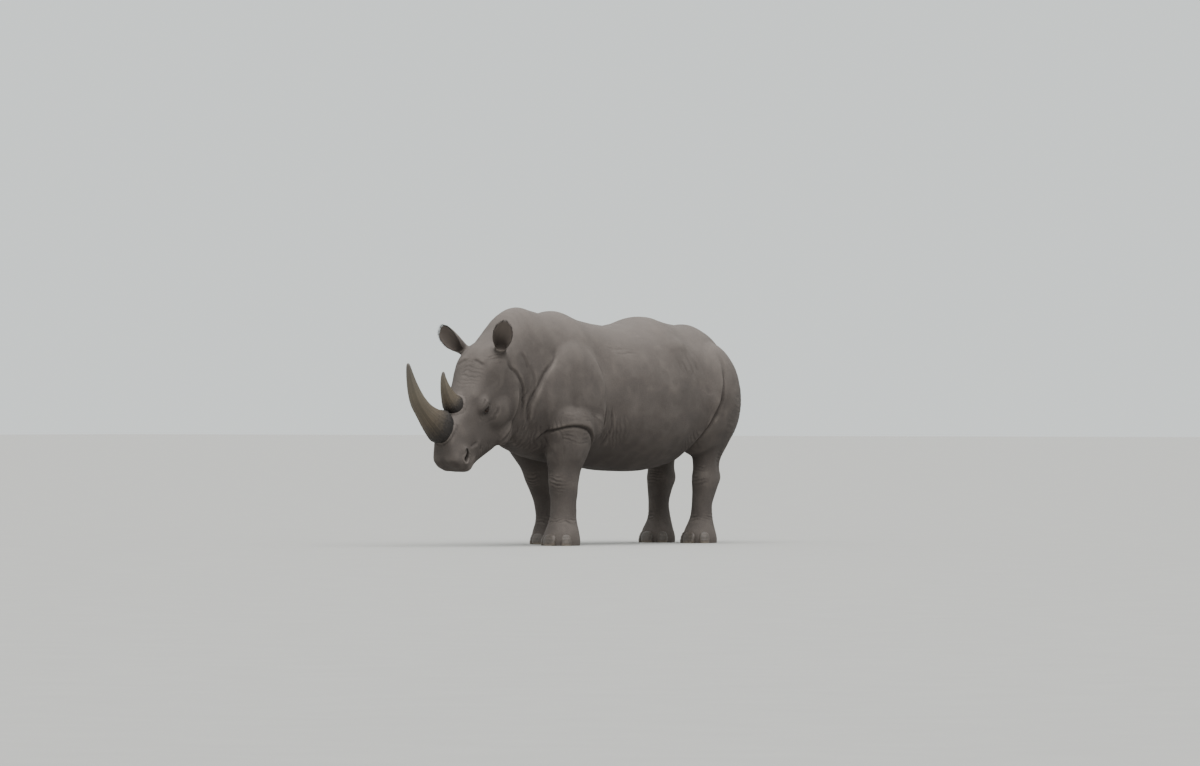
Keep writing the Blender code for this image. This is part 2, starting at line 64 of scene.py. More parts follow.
POLL = np.array([0, -0.82, 1.44])  # middle of the head's top, between the ears
HEAD_PITCH = math.radians(65)  # how far the line from ears to lips dips
HEAD_DOWN = np.array([0, -math.cos(HEAD_PITCH), -math.sin(HEAD_PITCH)])
HEAD_UP = np.array([0, -math.sin(HEAD_PITCH), math.cos(HEAD_PITCH)])
ACROSS = np.array([1.0, 0, 0])
EYE_BACK = -0.956  # where the solids' eyes are drawn, back from the withers
EYE_RADIUS = 0.021
LID_RADIUS = EYE_RADIUS + 0.0024  # of the dome of the lids, just over the eyeball
# The almond between the lids: half its length, half its height, and how far it bows up.
SLIT_HALF, SLIT_OPEN, SLIT_BOW = 0.0198, 0.0122, 0.11
FORE_X, HIND_X = 0.245, 0.235  # half the spacing of the legs
STRIDE = {"foreleg_left": 0.0, "foreleg_right": 0.43, "hindleg_left": 0.0, "hindleg_right": 0.04}

# The forms of the flesh. Each row: place along the axis, low edge, high edge, half width,
# height of the widest point, squareness (2 is an ellipse), and how far aside the middle is.
TRUNK = [
    (-0.92, 1.10, 1.34, 0.08, 1.24, 2.0, 0),  # inside the head
    (-0.84, 0.98, 1.475, 0.17, 1.26, 2.0, 0),  # poll
    (-0.72, 0.86, 1.588, 0.225, 1.24, 2.1, 0),
    (-0.58, 0.77, 1.72, 0.25, 1.20, 2.1, 0),
    (-0.45, 0.70, 1.768, 0.275, 1.14, 2.1, 0),  # nuchal hump
    (-0.33, 0.655, 1.745, 0.30, 1.10, 2.1, 0),
    (-0.22, 0.635, 1.725, 0.34, 1.08, 2.1, 0),  # dip before the withers
    (-0.04, 0.61, 1.742, 0.38, 1.06, 2.1, 0),  # withers
    (0.16, 0.59, 1.685, 0.40, 1.05, 2.15, 0),
    (0.36, 0.567, 1.652, 0.445, 1.03, 2.2, 0),
    (0.54, 0.550, 1.638, 0.475, 1.02, 2.25, 0),  # saddle
    (0.74, 0.542, 1.662, 0.49, 1.01, 2.25, 0),
    (0.94, 0.553, 1.712, 0.48, 1.02, 2.15, 0),  # top of the croup
    (1.14, 0.60, 1.674, 0.445, 1.05, 2.1, 0),
    (1.34, 0.72, 1.648, 0.41, 1.12, 2.15, 0),
    (1.50, 0.84, 1.646, 0.35, 1.18, 2.1, 0),  # dock
    (1.63, 0.98, 1.53, 0.30, 1.22, 2.1, 0),
    (1.71, 1.12, 1.36, 0.10, 1.24, 2.0, 0),
]
HEAD = [
    (-0.10, -0.22, 0.00, 0.13, -0.10, 2.0, 0),
    (-0.03, -0.30, 0.045, 0.185, -0.10, 2.4, 0),  # ears
    (0.08, -0.37, 0.078, 0.212, -0.10, 2.8, 0),
    (0.20, -0.415, 0.085, 0.212, -0.11, 2.8, 0),  # forehead
    (0.33, -0.445, 0.092, 0.192, -0.12, 2.6, 0),
    (0.45, -0.45, 0.10, 0.172, -0.13, 2.4, 0),  # eyes
    (0.56, -0.42, 0.125, 0.150, -0.11, 2.3, 0),
    (0.66, -0.355, 0.170, 0.130, -0.08, 2.3, 0),
    (0.75, -0.285, 0.168, 0.117, -0.05, 2.4, 0),  # nose
    (0.82, -0.225, 0.112, 0.120, -0.03, 2.8, 0),  # nostrils
    (0.862, -0.195, 0.083, 0.126, -0.04, 3.3, 0),  # lips
    (0.893, -0.175, 0.064, 0.127, -0.045, 3.6, 0),
    (0.916, -0.15, 0.044, 0.117, -0.045, 3.4, 0),
    (0.930, -0.11, 0.014, 0.082, -0.045, 2.8, 0),
]
FORELEG = [
    (-0.04, -0.335, -0.075, 0.118, -0.20, 2.4, 0.0),
    (0.03, -0.345, -0.07, 0.132, -0.20, 2.4, 0.0),  # foot
    (0.10, -0.33, -0.075, 0.122, -0.20, 2.3, 0.0),
    (0.18, -0.30, -0.085, 0.100, -0.19, 2.2, 0.0),
    (0.29, -0.285, -0.085, 0.092, -0.185, 2.1, 0.0),  # cannon
    (0.39, -0.295, -0.075, 0.100, -0.185, 2.1, 0.0),
    (0.46, -0.30, -0.07, 0.103, -0.185, 2.1, 0.0),  # knee
    (0.54, -0.305, -0.05, 0.107, -0.18, 2.1, 0.0),
    (0.66, -0.325, 0.02, 0.132, -0.15, 2.1, 0.003),
    (0.76, -0.345, 0.065, 0.150, -0.14, 2.1, 0.007),  # forearm
    (0.90, -0.37, 0.09, 0.155, -0.14, 2.1, 0.01),
    (1.05, -0.36, 0.08, 0.13, -0.14, 2.1, 0.0),
    (1.15, -0.28, 0.02, 0.08, -0.14, 2.0, -0.02),
]
HINDLEG = [
    (-0.04, 1.285, 1.52, 0.112, 1.41, 2.4, -0.01),
    (0.03, 1.27, 1.525, 0.125, 1.41, 2.4, -0.01),  # foot
    (0.10, 1.285, 1.515, 0.112, 1.41, 2.3, -0.01),
    (0.18, 1.325, 1.505, 0.086, 1.42, 2.2, -0.01),
    (0.29, 1.335, 1.505, 0.074, 1.42, 2.1, -0.005),  # cannon
    (0.39, 1.345, 1.55, 0.080, 1.42, 2.1, 0.0),
    (0.48, 1.345, 1.585, 0.086, 1.44, 2.1, 0.0),  # hock
    (0.56, 1.355, 1.58, 0.084, 1.45, 2.1, 0.0),
    (0.65, 1.35, 1.60, 0.094, 1.46, 2.1, 0.0),
    (0.74, 1.31, 1.66, 0.12, 1.47, 2.1, 0.005),
    (0.86, 1.235, 1.735, 0.16, 1.47, 2.1, 0.01),  # thigh
    (1.00, 1.17, 1.785, 0.185, 1.47, 2.1, 0.005),
    (1.18, 1.16, 1.785, 0.185, 1.45, 2.1, -0.015),
    (1.36, 1.16, 1.67, 0.14, 1.40, 2.1, -0.06),
    (1.48, 1.22, 1.55, 0.08, 1.38, 2.0, -0.09),
]
# Masses of muscle and bone: centre on the left side, and radii. Those of the head are across,
# along and up the head, and those of the shoulder lean forward by SHOULDER_LEAN.
SHOULDER_LEAN = math.radians(-12)
BODY_MASSES = [
    ((0.20, -0.03, 1.12), (0.198, 0.45, 0.44), SHOULDER_LEAN),
    ((0.275, 0.03, 0.90), (0.125, 0.14, 0.15), 0),  # elbow
    ((0.223, 1.428, 1.085), (0.238, 0.368, 0.442), 0),  # haunch
]
HEAD_MASSES = [
    ((0.12, 0.36, -0.19), (0.088, 0.19, 0.14)),  # cheek
    ((0.10, 0.46, -0.355), (0.062, 0.14, 0.095)),  # jaw
    ((0.145, 0.42, -0.025), (0.052, 0.085, 0.05)),  # orbit
    ((0.09, 0.82, -0.04), (0.036, 0.06, 0.07)),  # nostril
    ((0.0, 0.69, 0.065), (0.104, 0.14, 0.105)),  # nose
    ((0.0, 0.48, 0.05), (0.10, 0.13, 0.07)),  # brow
    ((0.0, 0.862, -0.045), (0.130, 0.062, 0.086)),  # lip
]
# Each ear: its root, the way it points and the way its hollow faces.
EARS = {
    "ear_left": ((0.165, -0.80, 1.43), (0.13, -0.10, 0.20), (0.656, -0.755, 0.0)),
    "ear_right": ((-0.165, -0.80, 1.43), (-0.138, -0.20, 0.215), (-0.05, -1.0, 0.0)),
}
EAR_LENGTH = 0.265
# The leaf of an ear: part of its length, half width, and degrees that it wraps each way.
EAR_LEAF = [
    (0.10, 0.038, 150),
    (0.22, 0.044, 135),
    (0.35, 0.054, 115),
    (0.60, 0.070, 88),
    (0.82, 0.066, 70),
    (0.93, 0.048, 60),
    (1.00, 0.014, 55),
]
EAR_WALL = 0.014  # while the skin is formed
EAR_THINNED = 0.0035  # then taken off each face
EAR_STALK = [(-0.07, 0.026), (-0.035, 0.040), (0.0, 0.043), (0.045, 0.041)]
# The tail: places (back, up) of its middle line, and its radius there.
TAIL = [
    (1.62, 1.46, 0.050),
    (1.71, 1.40, 0.044),
    (1.775, 1.29, 0.035),
    (1.80, 1.14, 0.028),
    (1.80, 1.00, 0.022),
    (1.795, 0.86, 0.018),
    (1.794, 0.80, 0.010),
]
# Each horn: the places (back, up) of its middle line, and its half width and half depth there.
HORNS = {
    "horn_front": (
        [(-1.218, 0.864), (-1.284, 0.887), (-1.362, 0.930), (-1.446, 0.993), (-1.518, 1.068),
         (-1.563, 1.148), (-1.598, 1.238), (-1.620, 1.318), (-1.6255, 1.348)],
        [(0.080, 0.104), (0.096, 0.126), (0.084, 0.096), (0.066, 0.070), (0.056, 0.058),
         (0.044, 0.045), (0.030, 0.030), (0.0165, 0.0165), (0.007, 0.007)],
    ),
    "horn_rear": (
        [(-1.095, 1.015), (-1.142, 1.053), (-1.184, 1.102), (-1.218, 1.166), (-1.238, 1.232),
         (-1.241, 1.272), (-1.242, 1.286)],
        [(0.078, 0.078), (0.076, 0.076), (0.054, 0.056), (0.037, 0.036), (0.0215, 0.0205),
         (0.0115, 0.0115), (0.005, 0.005)],
    ),
}


# ---------------------------------------------------------------- small tools
low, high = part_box("eye_left")
SHIFT = np.array([0, (low.y + high.y) / 2 - EYE_BACK, 0])
EYE = np.array((low + high) / 2) - SHIFT


def on_head(across, along, up):
    """A point from the distance across, down and out from the head at the poll."""
    return POLL + np.multiply.outer(across, ACROSS) + np.multiply.outer(along, HEAD_DOWN) \
        + np.multiply.outer(up, HEAD_UP)


def unit(vectors):
    """The vectors at length one."""
    vectors = np.asarray(vectors, float)
    return vectors / np.maximum(np.linalg.norm(vectors, axis=-1, keepdims=True), 1e-12)


def ramp(value, start, end):
    """From 0 at start to 1 at end, with a smooth beginning and end."""
    t = np.clip((value - start) / (end - start), 0, 1)
    return t * t * (3 - 2 * t)


def bump(value, width):
    """A bell: 1 where the value is 0, falling to almost nothing at twice the width."""
    return np.exp(-((value / width) ** 2))


def noise(points, size, seed):
    """Random values between -1 and 1 on a lattice of that size, blended smoothly between."""
    place = points / size
    cell = np.floor(place).astype(np.int64)
    part = place - cell
    part = part * part * (3 - 2 * part)
    total = np.zeros(len(points))
    for corner in range(8):
        step = np.array([corner & 1, corner >> 1 & 1, corner >> 2])
        x, y, z = (cell + step).T
        # large odd numbers scramble a corner's place into one of 65,536 values
        chance = (x * 73856093) ^ (y * 19349663) ^ (z * 83492791) ^ (seed * 2654435761)
        chance = ((chance ^ (chance >> 13)) * 1274126177) & 0xFFFFFFFF
        chance = ((chance ^ (chance >> 16)) * 2246822519) & 0xFFFFFFFF
        share = np.prod(np.where(step, part, 1 - part), axis=1)
        total += share * ((chance >> 8 & 0xFFFF) / 32767.5 - 1)
    return total


def between(rows, step):
    """Rows at even steps on smooth curves through the given rows (cubic, by their slopes)."""
    rows = np.array(rows, float)
    places = rows[:, 0]
    slopes = np.gradient(rows, places, axis=0)
    count = max(2, round((places[-1] - places[0]) / step))
    at = np.linspace(places[0], places[-1], count + 1)
    i = np.clip(np.searchsorted(places, at, side="right") - 1, 0, len(rows) - 2)
    span = (places[i + 1] - places[i])[:, None]
    t = (at - places[i])[:, None] / span
    start = rows[i] * (1 + 2 * t) * (1 - t) ** 2 + slopes[i] * span * t * (1 - t) ** 2
    end = rows[i + 1] * (3 - 2 * t) * t**2 + slopes[i + 1] * span * (t - 1) * t**2
    return start + end


def round_power(values, square):
    """The cosine or sine of a squarer round, for a squareness above 2."""
    return np.sign(values) * np.abs(values) ** (2 / square)


# ---------------------------------------------------------------- surfaces and meshes
def skin_of(rings):
    """Points and faces of a surface through rings of points, each end closed by a fan."""
    count, sides, _ = rings.shape
    ring = np.arange(sides)
    level = np.arange(count - 1)[:, None] * sides
    start, beside = (level + ring).reshape(-1, 1), (level + (ring + 1) % sides).reshape(-1, 1)
    quads = np.hstack([start, beside, beside + sides, start + sides])
    ends = np.stack([rings[0].mean(0), rings[-1].mean(0)])
    last, tip = (count - 1) * sides, np.full(sides, count * sides)
    first_fan = np.stack([(ring + 1) % sides, ring, tip], axis=1)
    last_fan = np.stack([last + ring, last + (ring + 1) % sides, tip + 1], axis=1)
    return np.vstack([rings.reshape(-1, 3), ends]), [quads, first_fan, last_fan]


def joined(shapes):
    """Several surfaces' points and faces as one."""
    points, faces, count = [], [], 0
    for shape_points, shape_faces in shapes:
        points.append(shape_points)
        faces += [part + count for part in shape_faces]
        count += len(shape_points)
    return np.vstack(points), faces


def mesh_of(name, points, faces, outward=False):
    """A new object from points and faces, with outward to have its faces turned outwards."""
    mesh = bpy.data.meshes.new(name)
    mesh.from_pydata(points.tolist(), [], [face for part in faces for face in part.tolist()])
    if outward:
        shape = bmesh.new()
        shape.from_mesh(mesh)
        bmesh.ops.recalc_face_normals(shape, faces=shape.faces)
        shape.to_mesh(mesh)
        shape.free()
    mesh.shade_smooth()
    piece = bpy.data.objects.new(name, mesh)
    bpy.context.scene.collection.objects.link(piece)
    return piece


def settle(piece):
    """The object with its modifiers made part of its mesh."""
    graph = bpy.context.evaluated_depsgraph_get()
    mesh = bpy.data.meshes.new_from_object(piece.evaluated_get(graph))
    piece.modifiers.clear()
    old, piece.data = piece.data, mesh
    bpy.data.meshes.remove(old)
    return piece


def modify(piece, kind, **settings):
    """The object after one modifier with these settings."""
    modifier = piece.modifiers.new(kind, kind)
    for name, value in settings.items():
        setattr(modifier, name, value)
    return settle(piece)


def keep(piece, label, values):
    """Keep a number, or a row of three, with each of the mesh's points, for its material."""
    kind, field = ("FLOAT_VECTOR", "vector") if values.ndim == 2 else ("FLOAT", "value")
    piece.data.attributes.new(label, kind, "POINT").data.foreach_set(field, values.ravel())


def points_of(mesh):
    """The mesh's points as rows."""
    flat = np.empty(len(mesh.vertices) * 3, np.float32)
    mesh.vertices.foreach_get("co", flat)
    return flat.reshape(-1, 3).astype(float)


def normals_of(mesh):
    """The mesh's normals at its points as rows."""
    flat = np.empty(len(mesh.vertices) * 3, np.float32)
    mesh.vertex_normals.foreach_get("vector", flat)
    return flat.reshape(-1, 3).astype(float)


def move_points(mesh, points):
    """Put the mesh's points at these rows."""
    mesh.vertices.foreach_set("co", points.astype(np.float32).ravel())
    mesh.update()


def edges_of(mesh):
    """The mesh's edges as pairs of point numbers."""
    flat = np.empty(len(mesh.edges) * 2, np.int32)
    mesh.edges.foreach_get("vertices", flat)
    return flat.reshape(-1, 2)


def spread(values, edges, times, share):
    """Values at points, each eased towards its neighbours' mean, some times over."""
    first, second = edges.T
    count = len(values)
    degree = np.maximum(np.bincount(edges.ravel(), minlength=count), 1)
    for _ in range(times):
        columns = []
        for column in values.reshape(count, -1).T:
            total = np.bincount(first, column[second], count)
            total += np.bincount(second, column[first], count)
            columns.append(total / degree)
        mean = np.stack(columns, axis=1).reshape(values.shape)
        values = values + share * (mean - values)
    return values


# ---------------------------------------------------------------- the forms of the flesh
def sections(rows):
    """Rings of (across, along, up) points: egg shapes with their own top and bottom."""
    at, low_edge, high_edge, half, widest, square, aside = between(rows, 0.02).T[:, :, None]
    turn = np.linspace(0, 2 * math.pi, 64, endpoint=False)
    c, s = np.cos(turn), np.sin(turn)
    across = aside + half * round_power(c, square)
    reach = np.where(s > 0, high_edge - widest, widest - low_edge)
    up = widest + reach * round_power(s, square)
    return np.stack(np.broadcast_arrays(across, at, up), axis=-1)


def lag(height, stride):
    """How far back a leg's section is, from nothing at the elbow to the stride at the foot."""
    down = np.clip((0.92 - height) / 0.92, 0, 1)
    return stride * (1 - (1 - down) ** 1.8)


def mass(centre, radii, axes, square=2.0):
    """A ball stretched to its radii along three axes: rings of latitude from pole to pole."""
    turn = np.linspace(0, 2 * math.pi, 40, endpoint=False)
    rise = np.linspace(-math.pi / 2 + 0.04, math.pi / 2 - 0.04, 26)[:, None]
    wide = round_power(np.cos(rise), square)
    local = np.stack(np.broadcast_arrays(
        wide * round_power(np.cos(turn), square),
        wide * round_power(np.sin(turn), square),
        round_power(np.sin(rise), square) + 0 * turn,
    ), axis=-1)
    return np.asarray(centre) + (local * np.asarray(radii)) @ np.asarray(axes)


def along_path(path, half_sizes, sides, step, square=2.0):
    """Rings round a smooth path, level across the animal, with half sizes at each point."""
    rows = [(i, *place, *sizes) for i, (place, sizes) in enumerate(zip(path, half_sizes))]
    rows = between(rows, step)
    points, wide, deep = rows[:, 1:4], rows[:, 4, None], rows[:, 5, None]
    ahead = unit(np.gradient(points, axis=0))
    side = unit(ACROSS - ahead * (ahead @ ACROSS)[:, None])
    out = np.cross(ahead, side)
    turn = np.linspace(0, 2 * math.pi, sides, endpoint=False)
    c, s = round_power(np.cos(turn), square), round_power(np.sin(turn), square)
    aside, off = (wide * c)[..., None], (deep * s)[..., None]
    return points[:, None] + aside * side[:, None] + off * out[:, None]


def ear_axes(name):
    """An ear's root, and the unit directions along it, out of its hollow and beside it."""
    root, axis, opening = (np.array(v) for v in EARS[name])
    axis = unit(axis)
    opening = unit(opening - axis * (opening @ axis))
    return root, axis, opening, np.cross(axis, opening)


def ear_leaf(name, off):
    """A grid of points on a leaf that wraps round its middle line, moved out by off.

    Each row is an arc whose radius makes its half width, wrapping less and less to the tip.
    """
    root, axis, opening, beside = ear_axes(name)
    along, wide, wrap = between(EAR_LEAF, 0.03).T[:, :, None]
    radius = wide / np.sin(np.minimum(np.radians(wrap), math.pi / 2))
    turn = np.radians(wrap) * np.linspace(-1, 1, 41)
    forward = radius - (radius + off) * np.cos(turn) - EAR_LEAF[0][1]
    across = (radius + off) * np.sin(turn)
    return (
        root
        + (along * EAR_LENGTH + 0 * turn)[..., None] * axis
        + forward[..., None] * opening
        + across[..., None] * beside
    )


def ear_form(name):
    """An ear's leaf with its wall, and its stalk: inner and outer grids joined as flat rings."""
    inner, outer = (ear_leaf(name, off) for off in (-EAR_WALL / 2, EAR_WALL / 2))
    yield skin_of(np.concatenate([outer, inner[:, ::-1]], axis=1))
    root, axis, _, _ = ear_axes(name)
    path = [root + axis * at for at, _ in EAR_STALK]
    yield skin_of(along_path(path, [(r, r) for _, r in EAR_STALK], 32, 0.2))


def forms():
    """All the closed forms that melt into the skin."""
    yield skin_of(sections(TRUNK))
    across, along, up = np.moveaxis(sections(HEAD), -1, 0)
    yield skin_of(on_head(across, along, up))
    for name, stride in STRIDE.items():
        rows, middle = (FORELEG, FORE_X) if name.startswith("fore") else (HINDLEG, HIND_X)
        side = 1 if name.endswith("left") else -1
        across, height, back = np.moveaxis(sections(rows), -1, 0)
        leg = np.stack([side * (across + middle), back + lag(height, stride), height], axis=-1)
        yield skin_of(leg)
    mirror = np.array([-1, 1, 1])
    for centre, radii, lean in BODY_MASSES:
        axes = np.array(Matrix.Rotation(lean, 3, "X")).T
        for centre in (centre, centre * mirror):
            yield skin_of(mass(centre, radii, axes))
    head_axes = np.stack([ACROSS, HEAD_DOWN, HEAD_UP])
    for (across, along, up), radii in HEAD_MASSES:
        for side in (1, -1) if across else (1,):
            yield skin_of(mass(on_head(side * across, along, up), radii, head_axes))
    for name in EARS:
        yield from ear_form(name)
    yield skin_of(along_path([(0, y, z) for y, z, _ in TAIL], [(r, r) for *_, r in TAIL], 32, 0.1))


# ---------------------------------------------------------------- forming the skin
def near_ears(points):
    """How much each point belongs to an ear, from 0 at its root to 1 on its leaf."""
    share = np.zeros(len(points))
    for name in EARS:
        root, axis, _, _ = ear_axes(name)
        along = (points - root) @ axis
        aside = np.linalg.norm(points - root - along[:, None] * axis, axis=1)
        firm = ramp(along, 0.0, 0.05) * (0.95 + 0.05 * ramp(along, 0.05, 0.09))
        share = np.maximum(share, firm * ramp(aside, 0.14, 0.12))
    return share


def on_tail(points):
    """How much each point belongs to the hanging tail, by its distance from the tail's surface."""
    back, height, radius = np.array(TAIL[::-1]).T
    across = np.hypot(points[:, 0], points[:, 1] - np.interp(points[:, 2], height, back))
    away = across - np.interp(points[:, 2], height, radius)
    return ramp(away, 0.024, 0.010) * ramp(points[:, 2], 1.42, 1.30)


def melted():
    """The forms joined into one closed surface and softened, but for the ears and the tail."""
    points, faces = joined(forms())
    skin = mesh_of("skin", points, faces)
    modify(skin, "REMESH", mode="VOXEL", voxel_size=GRAIN)
    points = points_of(skin.data)
    hard = np.maximum(near_ears(points), on_tail(points))
    # the reach grows as the square root of the passes, so they go as its square, in grains
    steps = round(2 * (SOFTNESS / 2 / GRAIN) ** 2 * 2.7)
    group = skin.vertex_groups.new(name="soft")
    levels = np.round((1 - EAR_HOLD * hard) * SOFT_LEVELS).astype(int)
    for level in range(SOFT_LEVELS + 1):
        chosen = np.nonzero(levels == level)[0].tolist()
        group.add(chosen, max(level / SOFT_LEVELS, LEAST_SOFT), "REPLACE")
    modify(skin, "SMOOTH", factor=0.5, iterations=steps, vertex_group="soft")
    return skin


def refine(skin, places):
    """Cut each face near the places (centre, reach) into four."""
    shape = bmesh.new()
    shape.from_mesh(skin.data)
    points = points_of(skin.data)
    near = np.zeros(len(points), bool)
    for centre, reach in places:
        near |= np.linalg.norm(points - centre, axis=1) < reach
    shape.edges.ensure_lookup_table()
    both = near[edges_of(skin.data)].all(axis=1)
    chosen = [shape.edges[i] for i in np.nonzero(both)[0]]
    bmesh.ops.subdivide_edges(shape, edges=chosen, cuts=1, use_grid_fill=True)
    shape.to_mesh(skin.data)
    shape.free()


# ---------------------------------------------------------------- swellings, folds and creases
# Swellings and hollows: centre on the left side, reach, and height. Those of the body are
# (across, back, up), and those of the head are (across, along, up) in the head's own axes.
BODY_SWELLS = [
    ((0.30, -0.12, 1.46), (0.16, 0.06, 0.20), 0.010),  # ridge of the shoulder blade
    ((0.36, 0.13, 1.40), (0.16, 0.08, 0.22), -0.014),  # hollow behind it
    ((0.28, -0.33, 1.36), (0.14, 0.06, 0.20), -0.010),  # and before it
    ((0.42, 0.00, 1.02), (0.14, 0.14, 0.16), 0.016),  # triceps
    ((0.30, -0.43, 1.02), (0.14, 0.10, 0.14), 0.018),  # point of the shoulder
    ((0.42, -0.20, 1.06), (0.12, 0.05, 0.18), -0.009),
    ((0.42, -0.20, 0.94), (0.12, 0.20, 0.06), 0.005),  # the shoulder hangs over the forearm
    ((0.44, 0.42, 0.95), (0.14, 0.22, 0.30), 0.010),  # ribs' swell
    ((0.34, 1.02, 1.50), (0.12, 0.11, 0.06), 0.012),  # hip bone
    ((0.43, 0.86, 1.34), (0.14, 0.14, 0.13), -0.008),  # hollow of the flank
    ((0.27, -0.61, 0.98), (0.12, 0.065, 0.22), -0.026),  # hollow behind the jaw
    ((0.30, 1.20, 1.52), (0.12, 0.12, 0.08), -0.010),
    ((0.16, 1.56, 1.52), (0.13, 0.10, 0.08), 0.006),  # from the croup to the ham
    ((0.43, 1.46, 1.12), (0.14, 0.14, 0.24), 0.014),  # thigh
    ((0.42, 1.31, 0.86), (0.14, 0.08, 0.13), 0.010),  # stifle
    ((0.36, 1.52, 0.80), (0.14, 0.10, 0.10), -0.008),
    ((0.14, 1.67, 1.32), (0.08, 0.08, 0.09), 0.014),  # pin bone
    ((0.0, 1.74, 0.98), (0.05, 0.16, 0.26), -0.035),  # cleft between the hams
    ((0.0, -0.62, 0.80), (0.06, 0.24, 0.12), -0.018),  # furrow of the breast
    ((0.12, -0.52, 0.76), (0.08, 0.14, 0.10), 0.016),
    ((0.20, 1.12, 0.64), (0.10, 0.10, 0.08), 0.014),  # fold tip under the flank
]
# In the same way for the legs: these also go back with each foot's stride.
LEG_SWELLS = {
    "fore": [
        ((0.36, -0.20, 0.72), (0.08, 0.10, 0.12), 0.010),  # forearm
        ((0.245, -0.31, 0.475), (0.09, 0.06, 0.055), 0.013),  # knee
        ((0.245, -0.30, 0.58), (0.10, 0.06, 0.05), -0.006),
        ((0.245, -0.29, 0.36), (0.10, 0.06, 0.06), -0.007),
        ((0.34, -0.17, 0.46), (0.04, 0.05, 0.06), 0.008),
        ((0.245, -0.06, 0.50), (0.07, 0.05, 0.05), 0.012),
        ((0.245, -0.08, 0.25), (0.08, 0.05, 0.05), 0.008),  # fetlock
        ((0.245, -0.36, 0.13), (0.12, 0.06, 0.03), -0.005),
    ],
    "hind": [
        ((0.235, 1.58, 0.50), (0.07, 0.06, 0.06), 0.016),  # point of the hock
        ((0.31, 1.52, 0.63), (0.06, 0.04, 0.09), -0.014),
        ((0.235, 1.355, 0.50), (0.08, 0.06, 0.06), 0.008),
        ((0.235, 1.345, 0.70), (0.12, 0.08, 0.10), 0.003),
        ((0.235, 1.52, 0.22), (0.08, 0.05, 0.05), 0.008),
        ((0.235, 1.27, 0.13), (0.12, 0.06, 0.03), -0.005),
    ],
}
HEAD_SWELLS = [
    ((0.21, 0.33, -0.26), (0.08, 0.12, 0.13), 0.010),  # cheek
    ((0.17, 0.53, -0.22), (0.08, 0.07, 0.10), -0.010),  # before the cheek
    ((0.20, 0.25, -0.01), (0.07, 0.09, 0.05), -0.012),  # temple
    ((0.16, 0.385, 0.055), (0.06, 0.06, 0.035), 0.012),  # brow
    ((0.07, 0.30, 0.12), (0.06, 0.10, 0.06), -0.006),
    ((0.14, 0.60, 0.03), (0.06, 0.06, 0.06), -0.009),  # under the rear horn
    ((0.12, 0.70, -0.12), (0.06, 0.08, 0.05), 0.008),
    ((0.135, 0.80, -0.015), (0.05, 0.04, 0.04), 0.012),  # over the nostril
    ((0.12, 0.895, -0.045), (0.06, 0.05, 0.035), 0.010),  # upper lip
    ((0.0, 0.95, 0.02), (0.03, 0.05, 0.06), -0.006),  # its middle
    ((0.06, 0.955, 0.00), (0.05, 0.04, 0.05), 0.008),
    ((0.10, 0.72, -0.27), (0.07, 0.08, 0.05), -0.006),
    ((0.0, 0.60, -0.40), (0.05, 0.22, 0.08), -0.010),  # between the jaw bones
]

